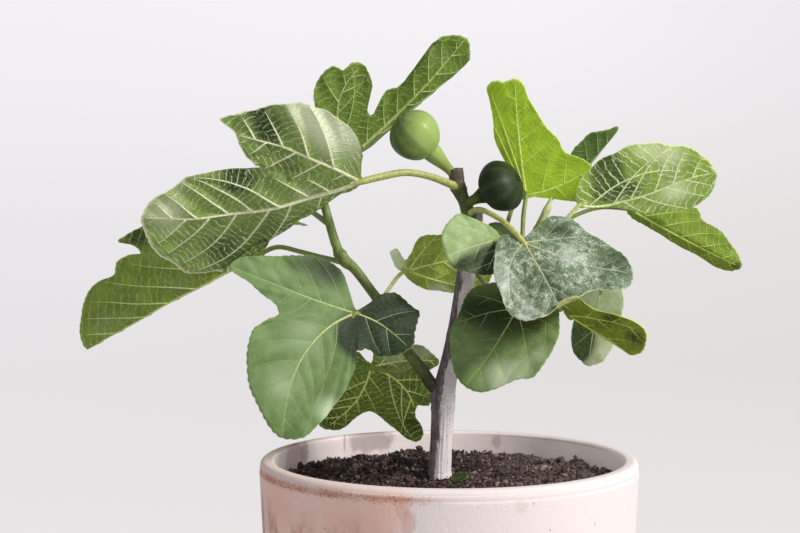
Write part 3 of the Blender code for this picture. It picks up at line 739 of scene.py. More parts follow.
# The young shoots are green wood, brown where they leave the trunk. A raised ring marks each joint where a
# leaf stood, and a few pale pores dot the skin.
UPPER_ROUTE = [(0.018, 0.0065, 0.378), (0.017, 0.006, 0.386), (0.013, 0.002, 0.395), (0.010, 0, 0.403),
               (0.006, -0.002, 0.413), (0.0045, -0.003, 0.4245)]
UPPER_RADII = [0.0036, 0.0046, 0.0048, 0.0042, 0.0053, 0.0049]
LEFT_ROUTE = [
    (-0.002, -0.005, 0.264), (-0.004, -0.005, 0.270), (-0.012, -0.006, 0.278), (-0.020, -0.007, 0.290),
    (-0.030, -0.008, 0.303), (-0.042, -0.012, 0.328), (-0.048, -0.014, 0.336), (-0.063, -0.015, 0.356),
    (-0.071, -0.013, 0.363), (-0.077, -0.010, 0.374), (-0.085, -0.002, 0.400), (-0.088, 0.002, 0.410),
]
LEFT_RADII = [0.0050, 0.0050, 0.0044, 0.0040, 0.0036, 0.0033, 0.0032, 0.0033, 0.0042, 0.0032, 0.0028, 0.0025]
RIGHT_ROUTE = [(0.012, 0.0035, 0.369), (0.014, 0.003, 0.370), (0.022, 0.001, 0.367), (0.033, -0.003, 0.365),
               (0.045, -0.004, 0.366), (0.054, -0.004, 0.374), (0.063, 0, 0.389)]
RIGHT_RADII = [0.0036, 0.0034, 0.0032, 0.0030, 0.0029, 0.0027, 0.0023]


def shoot_material(name, base, tip, change):
    """Young bark that turns from a woody base colour to a green one along the shoot, with pale pores."""
    material, tree, shader = new_material(name, 0.55)
    place = object_place(tree)
    patches = noise(tree, stretched(tree, place, (1, 1, 0.4)), 220, 4, 0.6)
    along = plus(tree, attribute(tree, "along"), times(tree, patches, 0.16))
    colour = blend(tree, ramp(tree, along, change, change + 0.22), base, tip)
    darker = blend(tree, 0.45, colour, SHOOT_SHADE)
    colour = blend(tree, ramp(tree, patches, 0.60, 0.42), colour, darker)
    pores = ramp(tree, cells(tree, stretched(tree, place, (1, 1, 0.7)), 420), 0.20, 0.10)
    colour = coat(tree, colour, SHOOT_PORE, pores, 0.6)
    connect(tree, shader.inputs["Base Color"], colour)
    relief(tree, shader, plus(tree, patches, pores), 0.0003)
    return material


SHOOT_SHADE = paint(52, 58, 26)
SHOOT_PORE = paint(186, 190, 130)
green_wood = shoot_material("green_wood", paint(78, 72, 48), paint(120, 142, 62), 0.16)
stub_wood = shoot_material("brown_wood", paint(88, 108, 52), paint(100, 82, 72), 0.74)
right_wood = shoot_material("fresh_wood", paint(96, 100, 56), paint(120, 150, 56), 0.20)
left_rings = [(0.030, 0.0014, 0.12), (0.089, 0.0016, 0.10), (0.128, 0.0014, 0.22), (0.133, 0.0007, -0.10)]
upper_rings = [(0.018, 0.0010, 0.08), (0.036, 0.0014, 0.12), (0.042, 0.0008, -0.10)]
right_rings = [(0.020, 0.0010, 0.14), (0.042, 0.0012, 0.16), (0.060, 0.0010, 0.12)]
limb("left_branch_bark", LEFT_ROUTE, LEFT_RADII, 40, ridged(5, 0.030, left_rings), green_wood,
     ["left_branch"])
limb("upper_shoot_bark", UPPER_ROUTE, UPPER_RADII, 40, ridged(7, 0.045, upper_rings), stub_wood,
     ["upper_shoot"])
limb("right_shoot_bark", RIGHT_ROUTE, RIGHT_RADII, 36, ridged(9, 0.025, right_rings), right_wood,
     ["right_shoot"])


# Each leaf is one soft lobed blade on its own stalk. Main ribs fan out from the stalk's end, side ribs leave
# them by turns, and fine cross veins quilt the skin between, pale and raised beneath, sunken above.
BLADE_THICKNESS = 0.00045
THROUGH = 0.35
THROUGH_DEPTH = 0.0006
THROUGH_COLOUR = (1.0, 1.2, 0.35)
SPOKE_STEP = 0.0015
RING_STEP = 0.0020
CREASE = 0.0014
SIDE_VEIN_REACH = 0.070
STRETCH_STEPS = 24
UV_PER_METRE = 10
MILLIMETRE = 0.001
RIPPLE = 0.034
SHORT_RIPPLE = 0.019
CALM_REACH = 0.03
WAVES_ALONG = 115
WAVES_ACROSS = 95
WAVES_SLANT = 40
QUILT_REACH = 0.36
QUILT_CALM = 0.02
MIDDLE_RIB = 0.46
OTHER_RIBS = 0.36
SIDE_RIBS = 0.18
SIDE_RIB_LEAST = 0.00014
RIB_PAINT = 1.3
RIB_POINTS = 17
MAIN_END = 0.985
SIDE_END = 0.97
SIDE_POINTS = 11
SHORTEST_SIDE = 0.004
TOOTH_PITCH = 0.0052
THINNEST_RIB = 0.00035
STALK_SIDES = 14
STALK_STEPS = 7
FAR_OFF = 99


def flat_way(turns):
    """The unit direction in the flat at each angle."""
    return np.stack([np.cos(turns), np.sin(turns)], -1)


def on_line(line, known, wanted):
    """The flat places on a line at the wanted values, where its own points have the known ones."""
    return np.stack([np.interp(wanted, known, line[:, i]) for i in range(2)], -1)


def closed_curve(points):
    """A smooth closed curve through the points, in cubic stretches. The slope at each point weighs the ways
    to its two neighbours by the other one's length."""
    run = np.roll(points, -1, axis=0) - points
    size = np.linalg.norm(run, axis=1, keepdims=True)
    size_before = np.roll(size, 1, axis=0)
    slope = (np.roll(run / size, 1, axis=0) * size + run / size * size_before) / (size + size_before)
    t = (np.arange(STRETCH_STEPS) / STRETCH_STEPS)[None, :, None]
    places = (points[:, None] * (2 * t**3 - 3 * t**2 + 1)
              + (size * slope)[:, None] * (t**3 - 2 * t**2 + t)
              + np.roll(points, -1, axis=0)[:, None] * (3 * t**2 - 2 * t**3)
              + (size * np.roll(slope, -1, axis=0))[:, None] * (t**3 - t**2))
    return places.reshape(-1, 2)


def steady_turn(turn, walked):
    """The outline's direction from the foot, made to grow all the way round: the mean of its running maximum
    and its backward running minimum, with a small even share of the way walked."""
    highest = np.maximum.accumulate(turn)
    lowest = np.minimum.accumulate(turn[::-1])[::-1]
    even = turn[0] + (turn[-1] - turn[0]) * walked / walked[-1]
    return 0.97 * (highest + lowest) / 2 + 0.03 * even


class Blade:
    """The flat outline of one leaf, given by rim points of angle in degrees and reach in millimetres about
    its foot, and the way its surface is bent in the world."""

    def __init__(self, foot, tip, faces, rim, arch, cup, fold, ruffle, wave, seed):
        self.foot = np.array(foot, float)
        along = np.array(tip, float) - self.foot
        self.length = np.linalg.norm(along)
        self.along = along / self.length
        upper = np.array(faces, float)
        self.upper = unit(upper - self.along * (upper @ self.along))
        self.across = np.cross(self.upper, self.along)
        self.arch, self.cup, self.fold, self.ruffle, self.wave = arch, cup, fold, ruffle, wave
        angles, reaches = np.array(rim, float).T
        self.outline = closed_curve(flat_way(np.radians(angles)) * reaches[:, None] * MILLIMETRE)
        closed = np.vstack([self.outline, self.outline[:1]])
        self.turn = np.unwrap(np.arctan2(closed[:, 1], closed[:, 0]))
        self.reach = np.hypot(*closed.T)
        self.walked = walked_along(closed)
        self.steady = steady_turn(self.turn, self.walked)
        self.phases = seed.uniform(0, 2 * np.pi, 4)

    def at_turn(self, u, v, values):
        """Values of the outline in the direction of each point."""
        turn = (np.arctan2(v, u) - self.steady[0]) % (2 * np.pi) + self.steady[0]
        return np.interp(turn, self.steady, values)

    def bend(self, u, v):
        """The midrib arches between foot and tip, each half folds up about it with a rounded crease, the
        edges cup upward and ruffle, and broad waves cross the blade. Heights point where it faces."""
        from_crease = np.sqrt(v * v + CREASE * CREASE) - CREASE
        lift = np.radians(np.where(v > 0, self.fold[0], self.fold[1]))
        along = u / self.length
        height = 4 * self.arch * along * (1 - along) + self.cup * v * v / self.length
        height = height + from_crease * np.sin(lift)
        distance = np.hypot(u, v)
        share = np.minimum(distance / self.at_turn(u, v, self.reach), 1)
        walked = self.at_turn(u, v, self.walked)
        ripples = (np.sin(walked * 2 * np.pi / RIPPLE + self.phases[0])
                   + 0.6 * np.sin(walked * 2 * np.pi / SHORT_RIPPLE + self.phases[1]))
        calm = np.minimum(distance / CALM_REACH, 1)
        height = height + self.ruffle * share**3 * ripples * calm
        slanting = u * WAVES_ALONG + self.phases[2] + WAVES_SLANT * v
        broad = np.sin(slanting) * np.cos(v * WAVES_ACROSS + self.phases[3])
        height = height + self.wave * broad * calm**2
        side = v - np.sign(v) * from_crease * (1 - np.cos(lift))
        return self.foot + np.stack([u, side, height], -1) @ np.stack([self.along, self.across, self.upper])

    def surface(self, u, v):
        """Places on the bent blade, and where it faces there, from small steps to either side."""
        step = 0.0005
        along = self.bend(u + step, v) - self.bend(u - step, v)
        across = self.bend(u, v + step) - self.bend(u, v - step)
        return self.bend(u, v), unit(np.cross(along, across))

    def holds(self, points):
        """Whether each flat point lies within the outline, from how often that is crossed to its right."""
        start, end = self.outline, np.roll(self.outline, -1, axis=0)
        x, y = points[:, :1], points[:, 1:]
        rise = end[:, 1] - start[:, 1]
        crosses = (start[:, 1] <= y) != (end[:, 1] <= y)
        at = start[:, 0] + (y - start[:, 1]) * (end[:, 0] - start[:, 0]) / np.where(rise == 0, 1, rise)
        return (crosses & (x < at)).sum(1) % 2 == 1


def nearest_vein(points, veins):
    """For each flat point, how far it is from the nearest vein, and the number of that vein and of its
    nearest straight stretch. The distance is to the point's foot on the stretch, kept between its ends."""
    best = np.full(len(points), np.inf)
    which = np.zeros(len(points), int)
    stretch = np.zeros(len(points), int)
    for number, vein in enumerate(veins):
        run = np.diff(vein, axis=0)
        away = points[:, None] - vein[:-1]
        share = np.clip((away * run).sum(-1) / (run * run).sum(-1), 0, 1)
        distance = np.linalg.norm(away - share[..., None] * run, axis=-1)
        nearest = distance.argmin(1)
        least = distance[np.arange(len(points)), nearest]
        closer = least < best
        best[closer], which[closer], stretch[closer] = least[closer], number, nearest[closer]
    return best, which, stretch


def main_vein(start, end, length, ease=1.0):
    """A main rib from the leaf's foot, whose direction swings from the start angle to the end angle, evenly
    or, with an ease above 1, faster at first."""
    share = np.linspace(0, 1, RIB_POINTS)
    turn = np.radians(end + (start - end) * (1 - share) ** ease)
    return (length * MILLIMETRE * share)[:, None] * flat_way(turn)


def kept_within(vein, blade):
    """The vein cut short where it would leave the blade, with its points spread evenly again."""
    inside = blade.holds(vein / MAIN_END)
    share = np.linspace(0, 1, len(vein))
    last = share[-1] if inside[1:].all() else share[(~inside[1:]).argmax()]
    return on_line(vein, share, share * last)


def side_veins(mains, blade, spacing, slant, curve, seed, bare):
    """Side ribs leave each main rib that isn't bare by turns to its left and right. Each starts at the slant,
    curves toward the tip, and ends short of the blade's edge or where another main rib becomes the nearer."""
    found = []
    t = np.linspace(0, SIDE_VEIN_REACH, 36)
    for number, vein in enumerate(mains):
        if number in bare:
            continue
        walked = walked_along(vein)
        starts = np.arange(spacing * 0.55, walked[-1] * 0.96, spacing / 2)
        for count, at in enumerate(starts + seed.uniform(-0.12, 0.12, len(starts)) * spacing):
            side = 1 if count % 2 else -1
            start, ahead, behind = on_line(vein, walked, at + np.array([0, 0.001, -0.001]))
            heading = math.atan2(*(ahead - behind)[::-1])
            open_angle = slant * (1 - 0.22 * at / walked[-1]) + seed.uniform(-3, 3)
            turns = heading + side * np.radians(open_angle - curve * (t / 0.045) ** 1.4)
            steps = flat_way(turns) * (t[1] - t[0])
            path = start + np.concatenate([[(0, 0)], np.cumsum(steps[:-1], axis=0)])
            _, nearest, _ = nearest_vein(path, mains)
            lost = ~blade.holds(path / SIDE_END) | ((nearest != number) & (t > SHORTEST_SIDE))
            length = t[max(lost.argmax() - 1, 0)] if lost.any() else t[-1]
            if length > SHORTEST_SIDE:
                found.append(on_line(path, t, np.linspace(0, length, SIDE_POINTS)))
    return found


def vein_marks(corners, veins, half_widths):
    """For each face corner, its place against the vein nearest to the face's middle: the offset to the vein's
    left in half widths, the share of the vein's length there, and the distance along it in metres."""
    marks = np.zeros((*corners.shape[:2], 3), np.float32)
    if not veins:
        marks[..., 0] = FAR_OFF
        return marks
    _, which, stretch = nearest_vein(corners.mean(1), veins)
    veins = np.array(veins)
    start = veins[which, stretch]
    run = unit(veins[which, stretch + 1] - start)
    steps = np.linalg.norm(np.diff(veins, axis=1), axis=2)
    before = np.concatenate([np.zeros((len(veins), 1)), np.cumsum(steps, axis=1)], axis=1)
    away = corners - start[:, None]
    along = (away * run[:, None]).sum(-1) + before[which, stretch][:, None]
    offset = away[..., 1] * run[:, None, 0] - away[..., 0] * run[:, None, 1]
    share = along / before[which, -1][:, None]
    half = rib_taper(np.clip(share, 0, 1)) * half_widths[which][:, None]
    marks[..., 0] = offset / half
    marks[..., 1] = share
    marks[..., 2] = along
    return marks


def rib_taper(share):
    """A rib's width from its start, 1, to its tip, a fifth of that."""
    return 0.2 + 0.8 * (1 - share) ** 0.8


def rib_tubes(veins, radii, blade, sides, sunk):
    """Thin tapering tubes along the veins, partly sunk in the blade's underside: points, side faces, end
    caps, and each point's share of its vein's length."""
    veins = np.array(veins)
    count, rows = veins.shape[:2]
    places, upper = blade.surface(veins[..., 0].ravel(), veins[..., 1].ravel())
    places, upper = places.reshape(count, rows, 3), upper.reshape(count, rows, 3)
    side = unit(np.cross(upper, unit(np.gradient(places, axis=1))))
    turn = full_turn(sides)
    share = np.linspace(0, 1, rows)
    radius = radii[:, None] * rib_taper(share)[None]
    centre = places - upper * (BLADE_THICKNESS / 2 - sunk * radius[..., None])
    ring = side[:, :, None] * np.cos(turn)[:, None] + upper[:, :, None] * np.sin(turn)[:, None]
    points = centre[:, :, None] + ring * radius[:, :, None, None]
    one = ring_faces(rows, sides)[:, ::-1]
    caps = np.array([np.arange(sides), (rows - 1) * sides + np.arange(sides)[::-1]])
    step = (np.arange(count) * rows * sides)[:, None, None]
    shares = np.broadcast_to(share[None, :, None], (count, rows, sides)).ravel()
    return points.reshape(-1, 3), (one + step).reshape(-1, 4), (caps + step).reshape(-1, sides), shares


def new_group(name, inputs, outputs):
    """A shader node group with plain number inputs and outputs."""
    group = bpy.data.node_groups.new(name, "ShaderNodeTree")
    for title in inputs:
        group.interface.new_socket(title, in_out="INPUT", socket_type="NodeSocketFloat")
    for title in outputs:
        group.interface.new_socket(title, in_out="OUTPUT", socket_type="NodeSocketFloat")
    return group, group.nodes.new("NodeGroupInput"), group.nodes.new("NodeGroupOutput")


def rib_line(tree, name, width):
    """1 on the rib that the attribute describes, and 0 a little beyond its width or past either end."""
    offset, share, _ = split(tree, attribute(tree, name, "Vector"))
    away = calc(tree, "DIVIDE", calc(tree, "ABSOLUTE", offset), width)
    ends = times(tree, ramp(tree, share, 1.03, 0.98), ramp(tree, share, -0.02, 0.01))
    return times(tree, ramp(tree, away, 1.5, 0.7), ends)


def vein_group():
    """The masks of a leaf's skin: main ribs, side ribs, rungs across from rib to rib, which wobble and break
    off here and there, and the finest net. Lines keep their own width in metres at any spacing."""
    group, given, made = new_group("leaf_veins", ["Rib Width", "Rung Spacing", "Net Size"],
                                   ["Main", "Side", "Rungs", "Net", "Patch"])
    width, spacing, net_size = (given.outputs[i] for i in range(3))
    place = group.nodes.new("ShaderNodeUVMap")
    place.uv_map = "blade"
    flat = place.outputs["UV"]
    connect(group, made.inputs["Main"], rib_line(group, "main_vein", width))
    connect(group, made.inputs["Side"], rib_line(group, "side_vein", width))
    along = split(group, attribute(group, "side_vein", "Vector"))[2]
    wobble = swing(group, noise(group, flat, 6, 3, 0.6), 0.0090)
    rung = calc(group, "DIVIDE", plus(group, along, wobble), spacing)
    to_rung = times(group, gap(group, calc(group, "FRACT", rung), 0.5), spacing)
    broken = times(group, ramp(group, noise(group, flat, 26, 2), 0.28, 0.48),
                   ramp(group, noise(group, flat, 4.5, 2), 0.34, 0.56, 0.35, 1.0))
    connect(group, made.inputs["Rungs"], times(group, ramp(group, to_rung, 0.00050, 0.00012), broken))
    closer = group.nodes.new("ShaderNodeVectorMath")
    closer.operation = "SCALE"
    connect(group, closer.inputs[0], flat)
    connect(group, closer.inputs["Scale"], calc(group, "DIVIDE", 1 / UV_PER_METRE, net_size))
    to_edge = times(group, cells(group, closer.outputs[0], 1, "DISTANCE_TO_EDGE"), net_size)
    connect(group, made.inputs["Net"], ramp(group, to_edge, 0.00036, 0.00006))
    connect(group, made.inputs["Patch"], noise(group, flat, 9, 4, 0.6))
    return group


VEINS = vein_group()


def dusted_and_glinting(tree, colour, pale, light_and_tone, dust_glints):
    """The colour under pale dust, as thick as its share says: fine grains in clumps, more where the blade is
    painted paler. The grains also stand for painted glints of light on the fine hairs.
    """
    grains = noise(tree, object_place(tree), 1000, 4, 0.8)
    clumps = noise(tree, object_place(tree), 210, 3, 0.6)
    dust_and_glints = plus(tree, grains, swing(tree, clumps, 0.6), times(tree, light_and_tone, 0.10))
    return blend(tree, ramp(tree, dust_and_glints, 0.45, 0.68, 0, dust_glints), colour, pale)


def leaf_skin(name, colours, rough, raised, clear, width, sheen, edge, dust_glints, glow, rung):
    """One side of a leaf, in flesh, patch, vein, rib, pale and dark colours. The clear shares say how well the
    side ribs, rungs and net show, width widens the painted ribs, rung is the metres from rung to rung, and
    edge how strongly the margin is lined. The tone painted over the blade makes it paler or darker, as painted
    light and shade where light falls and shadows lie, and as the leaf's own tone. The dust share lays pale
    dust over it that also stands for painted glints of light on the fine hairs, and the glow stands for
    daylight that comes through from behind."""
    flesh, patch, vein, rib, pale, dark = (paint(*colour) for colour in colours)
    side_clear, rung_clear, net_clear = clear
    rung_rise, net_rise = (0.9, 0.30) if raised > 0 else (0.12, 0.10)
    material, tree, shader = new_material(name, rough, Sheen_Weight=sheen, Sheen_Roughness=0.4,
                                          Specular_IOR_Level=0.32, Subsurface_Weight=THROUGH,
                                          Subsurface_Scale=THROUGH_DEPTH, Subsurface_Radius=THROUGH_COLOUR,
                                          Emission_Strength=glow)
    veins = tree.nodes.new("ShaderNodeGroup")
    veins.node_tree = VEINS
    for socket, value in zip(veins.inputs, (width, rung, rung)):
        socket.default_value = value
    out = veins.outputs
    # Painted light and shade: the spots of tone make the blade paler where light falls and darker where other
    # leaves shadow it, with the leaf's own random tone added.
    light_and_tone = plus(tree, attribute(tree, "light_and_tone"), swing(tree, out["Patch"], 0.5 + dust_glints))
    colour = blend(tree, ramp(tree, out["Patch"], 0.36, 0.64), flesh, patch)
    colour = blend(tree, ramp(tree, light_and_tone, 0.10, 1.30), colour, pale)
    colour = blend(tree, ramp(tree, light_and_tone, -0.10, -1.60), colour, dark)
    # Painted highlights: the pale dust grains also stand for glints of light on the leaf's fine hairs.
    if dust_glints:
        colour = dusted_and_glinting(tree, colour, pale, light_and_tone, dust_glints)
    colour = coat(tree, colour, vein, out["Net"], net_clear)
    colour = coat(tree, colour, vein, out["Rungs"], rung_clear)
    colour = coat(tree, colour, vein, out["Side"], side_clear)
    colour = coat(tree, colour, rib, out["Main"], 0.9)
    colour = blend(tree, ramp(tree, attribute(tree, "margin"), 0.982, 1.0, 0, edge), colour, rib)
    connect(tree, shader.inputs["Base Color"], colour)
    connect(tree, shader.inputs["Emission Color"], colour)
    fine = noise(tree, object_place(tree), 1200, 3, 0.6)
    rungs = times(tree, out["Rungs"], rung_rise * raised)
    net = times(tree, out["Net"], net_rise * raised)
    ribs = times(tree, out["Side"], raised)
    relief(tree, shader, plus(tree, rungs, net, ribs, times(tree, fine, 0.35)), 0.00065)
    return material


def rib_material(name, stalk, vein, glow=0.0):
    """The stalk's colour, turning to the ribs' paler one past the leaf's foot, with faint streaks, and a glow
    that is painted light for daylight coming through from behind.
    """
    material, tree, shader = new_material(name, 0.45, Subsurface_Weight=THROUGH,
                                          Subsurface_Scale=THROUGH_DEPTH, Subsurface_Radius=THROUGH_COLOUR,
                                          Emission_Strength=glow)
    streaks = noise(tree, object_place(tree), 500, 3)
    colour = blend(tree, ramp(tree, attribute(tree, "along"), 0.85, 1.30), stalk, vein)
    darker = blend(tree, 0.30, colour, SHOOT_SHADE)
    colour = blend(tree, ramp(tree, streaks, 0.66, 0.36), colour, darker)
    connect(tree, shader.inputs["Base Color"], colour)
    connect(tree, shader.inputs["Emission Color"], colour)
    relief(tree, shader, streaks, 0.0002)
    return material


def spread_flat(blade, teeth):
    """The blade in the flat, in rings of spokes from its foot to its toothed rim: all points, each ring's
    share of the reach, each spoke's angle and reach at the rim, and how far each ring's points lie out."""
    count = int(blade.walked[-1] / SPOKE_STEP)
    walked = np.arange(count) / count * blade.walked[-1]
    turn, steady, reach = (np.interp(walked, blade.walked, values)
                           for values in (blade.turn, blade.steady, blade.reach))
    tooth = teeth * (np.abs(np.sin(walked * np.pi / TOOTH_PITCH)) - 0.6)
    rings = max(8, int(reach.max() / RING_STEP))
    share = (np.arange(1, rings + 1) / rings)[:, None]
    radius = share * reach + tooth * share**12
    spokes = flat_way(steady + (turn - steady) * share**3)
    flat = np.concatenate([[(0, 0)], (radius[..., None] * spokes).reshape(-1, 2)])
    return flat, share, turn, reach, radius


def curl_rim(places, normals, blade, turn, reach, radius, curl):
    """The blade's places and normals with its rim rolled over at an angle, within a spread, to a depth: what
    lies past the depth is wound on a round roll."""
    angle, spread, depth, roll = curl
    away = np.abs((np.degrees(np.broadcast_to(turn, radius.shape)) - angle + 180) % 360 - 180) / spread
    strength = np.clip(1 - away**2, 0, 1)
    past = np.concatenate([[0], np.maximum(radius - (reach - depth * MILLIMETRE * strength), 0).ravel()])
    outward = blade.along * np.cos(np.radians(angle)) + blade.across * np.sin(np.radians(angle))
    rolled = past / (roll * MILLIMETRE)
    shift = roll * MILLIMETRE * np.sin(rolled) - past
    lift = roll * MILLIMETRE * (1 - np.cos(rolled))
    axis = unit(np.cross(normals, np.cross(outward, normals)))
    places = places + axis * shift[:, None] + normals * lift[:, None]
    return places, normals * np.cos(rolled)[:, None] - axis * np.sin(rolled)[:, None]


def skin_faces(rings, count):
    """The faces of a blade of two skins that share one rim: middle and rings above, the same below, and the
    rim between them."""
    total = 1 + rings * count
    middle = fan_faces(0, 1, count, True)[:, [2, 0, 1]]
    between = ring_faces(rings, count, 1)[:, [0, 3, 2, 1]]
    rim_here = 1 + (rings - 1) * count + np.arange(count)
    rim_after = np.roll(rim_here, -1)
    rim = np.stack([rim_after, rim_here, rim_here + total, rim_after + total], -1)
    return [middle, between, middle[:, ::-1] + total, between[:, ::-1] + total, rim]


def grow_stalk(blade, stalk, radius, seed):
    """The stalk along its places to the blade's foot, where it thins and sinks into the underside: points,
    faces, and how far along it each point lies."""
    sunk_end = blade.foot + blade.along * radius * 3 - blade.upper * radius * 0.3
    radii = np.array([1.25] + [1.0] * (len(stalk) - 1) + [0.9, 0.45]) * radius
    rows = smooth_route([*stalk, blade.foot, sunk_end], radii, STALK_STEPS)
    rings = carried_rings(rows, STALK_SIDES, ridged(seed, 0.03))
    points, faces = closed_rings(rings, rows[0, :3], rows[-1, :3])
    return points, faces, np.concatenate([np.repeat(np.linspace(0, 1.1, len(rows)), STALK_SIDES), [0, 1.1]])


def mark_corners(piece, faces, skins, flat, main_ribs, side_ribs):
    """The UV map and the vein marks at the face corners of the blade's skins, and zeros on what follows."""
    flat_twice = np.concatenate([flat, flat])
    skin_corners = [flat_twice[part] for part in faces[:skins]]
    rest = sum(part.size for part in faces[skins:])

    def filled(parts, width):
        return np.concatenate([part.reshape(-1, width) for part in parts] + [np.zeros((rest, width))])

    layer = piece.data.uv_layers.new(name="blade")
    uv = filled([corners * UV_PER_METRE for corners in skin_corners], 2)
    layer.uv.foreach_set("vector", uv.astype(np.float32).ravel())
    for title, (lines, radii) in (("main_vein", main_ribs), ("side_vein", side_ribs)):
        marks = filled([vein_marks(corners, lines, radii * RIB_PAINT) for corners in skin_corners], 3)
        values = piece.data.attributes.new(title, "FLOAT_VECTOR", "CORNER")
        values.data.foreach_set("vector", marks.astype(np.float32).ravel())


def grow_leaf(name, foot, tip, faces, rim, stalk, stalk_radius, mains, under, upper, stem_colour, seed,
              arch=0.0, cup=0.0, fold=(6, 6), ruffle=0.0008, wave=0.0008, spacing=0.0125, slant=52, curve=22,
              quilt=0.0013, teeth=0.0006, sheen=0.03, rough=0.55, light_and_tone_spots=(), edge=0.35,
              clear=(0.95, 0.60, 0.25), curls=(), ridges=1.0, dust_glints=0.0, glow=0.0, rung=0.0034,
              side_width=0.75, bare=()):
    """One leaf: a thin closed blade in rings of spokes, quilted between its veins and toothed at its edge,
    with rib tubes under it and its stalk. Faces is where its upper side looks, the tone spots are soft round
    spots, each of angle, reach, radius and strength, painted paler or darker, as painted light and shade where
    light falls on the blade and where other leaves shadow it, and as the leaf's own tone, curls roll the rim
    over, side_width scales the side ribs, and bare numbers the main ribs that have none."""
    chance = np.random.default_rng(seed)
    blade = Blade(foot, tip, faces, rim, arch, cup, fold, ruffle, wave, chance)
    flat, share, turn, reach, radius = spread_flat(blade, teeth)
    main_lines = [kept_within(main_vein(*main), blade) for main in mains]
    side_lines = side_veins(main_lines, blade, spacing, slant, curve, chance, bare)
    places, normals = blade.surface(*flat.T)
    to_vein, _, _ = nearest_vein(flat, main_lines + side_lines)
    puff = np.sin(np.minimum(to_vein / (spacing * QUILT_REACH), 1) * np.pi / 2)
    puff_here = quilt * puff * np.minimum(np.hypot(*flat.T) / QUILT_CALM, 1)
    places = places + normals * puff_here[:, None]
    for curl in curls:
        places, normals = curl_rim(places, normals, blade, turn, reach, radius, curl)
    half_skin = normals * BLADE_THICKNESS / 2
    total = len(places)

    main_radii = np.array([MIDDLE_RIB] + [OTHER_RIBS] * (len(mains) - 1)) * stalk_radius
    main_radii = np.maximum(main_radii, THINNEST_RIB)
    side_radii = np.full(len(side_lines), side_width * (SIDE_RIBS * stalk_radius + SIDE_RIB_LEAST))
    parts, along = [places + half_skin, places - half_skin], [np.ones(2 * total)]
    offset = 2 * total
    tubes, caps = [], []
    for lines, radii, sides, sunk in ((main_lines, main_radii, 8, 0.25), (side_lines, side_radii, 5, 0.1)):
        if lines:
            tube_points, tube_faces, tube_caps, tube_share = rib_tubes(lines, radii, blade, sides, sunk)
            parts.append(tube_points)
            tubes.append(tube_faces + offset)
            caps.append(tube_caps + offset)
            along.append(1.25 + tube_share)
            offset += len(tube_points)
    stalk_points, stalk_faces, stalk_along = grow_stalk(blade, stalk, stalk_radius, seed)
    skins = skin_faces(len(share), len(turn))
    stems = [*tubes, *caps, *(part + offset for part in stalk_faces)]
    slots = [0, 0, 1, 1, 1] + [2] * len(stems)
    materials = [
        leaf_skin(name + "_upper", upper, rough, raised=-0.5, clear=(0.85, 0.08, 0.04), width=0.60,
                  sheen=sheen, edge=edge, dust_glints=dust_glints, glow=glow, rung=rung),
        leaf_skin(name + "_under", under, 0.65, raised=ridges, clear=clear, width=1.0,
                  sheen=0, edge=edge, dust_glints=0.0, glow=glow, rung=rung),
        rib_material(name + "_ribs", paint(*stem_colour), paint(*under[3]), glow),
    ]
    points = np.concatenate([*parts, stalk_points])
    piece = new_piece(name + "_blade", points, skins + stems, materials, slots=slots,
                      replaces=[name])
    rest = np.zeros(len(points) - 2 * total)
    light_and_tone = np.zeros(total)
    # Painted light and shade: the spots paint light and shadows on the blade, beside the leaf's own tone.
    for angle, spot_reach, spot_radius, strength in light_and_tone_spots:
        spot = flat_way(np.radians(angle)) * spot_reach * MILLIMETRE
        light_and_tone += strength * np.exp(-((flat - spot) ** 2).sum(1) / (spot_radius * MILLIMETRE) ** 2)
    margin = np.concatenate([[0], np.broadcast_to(share, radius.shape).ravel()])
    shade_attribute(piece, "along", np.concatenate([*along, stalk_along]))
    shade_attribute(piece, "light_and_tone", np.concatenate([light_and_tone, light_and_tone, rest]))
    shade_attribute(piece, "margin", np.concatenate([margin, margin, rest]))
    mark_corners(piece, skins + stems, len(skins), flat, (main_lines, main_radii), (side_lines, side_radii))


def leaf_colours(flesh, vein, rib, pale=None, dark=None):
    """Flesh, patch, vein, rib, pale and dark colours, from the flesh where they aren't given. The pale and
    dark colours are what the painted light and shade of the tone spots blend toward.
    """
    patch = tuple(value * share for value, share in zip(flesh, (0.86, 0.88, 0.80)))
    pale = pale or tuple(value + (235 - value) * 0.55 for value in flesh)
    dark = dark or tuple(value * share for value, share in zip(flesh, (0.45, 0.50, 0.40)))
    return flesh, patch, vein, rib, pale, dark


GREEN_UNDER = leaf_colours((140, 158, 92), (192, 206, 140), (206, 214, 140))
DARK_UPPER = leaf_colours((88, 108, 66), (138, 158, 108), (168, 182, 110))
YELLOW_STALK = (182, 190, 112)
GREEN_STALK = (134, 150, 72)


def palmate_rim(length, left=1.0, right=1.0):
    """The usual five-lobed outline: a long middle lobe, two beside it and two small ones at the foot, which
    may be smaller on one side."""
    half = [(0, 1.0), (12, 0.93), (20, 0.72), (25, 0.60), (32, 0.70), (42, 0.80), (52, 0.72), (60, 0.48),
            (66, 0.40), (76, 0.47), (90, 0.50), (112, 0.40), (140, 0.22)]
    below = [(-angle, share * length * (right if angle > 21 else 1)) for angle, share in half[:0:-1]]
    above = [(angle, share * length * (left if angle > 21 else 1)) for angle, share in half]
    return below + above + [(180, 2.5)]


def palmate_mains(length):
    """The five main ribs of the usual blade."""
    return [(0, 0, 0.95 * length), (46, 42, 0.75 * length), (-46, -42, 0.75 * length),
            (94, 88, 0.45 * length), (-94, -88, 0.45 * length)]


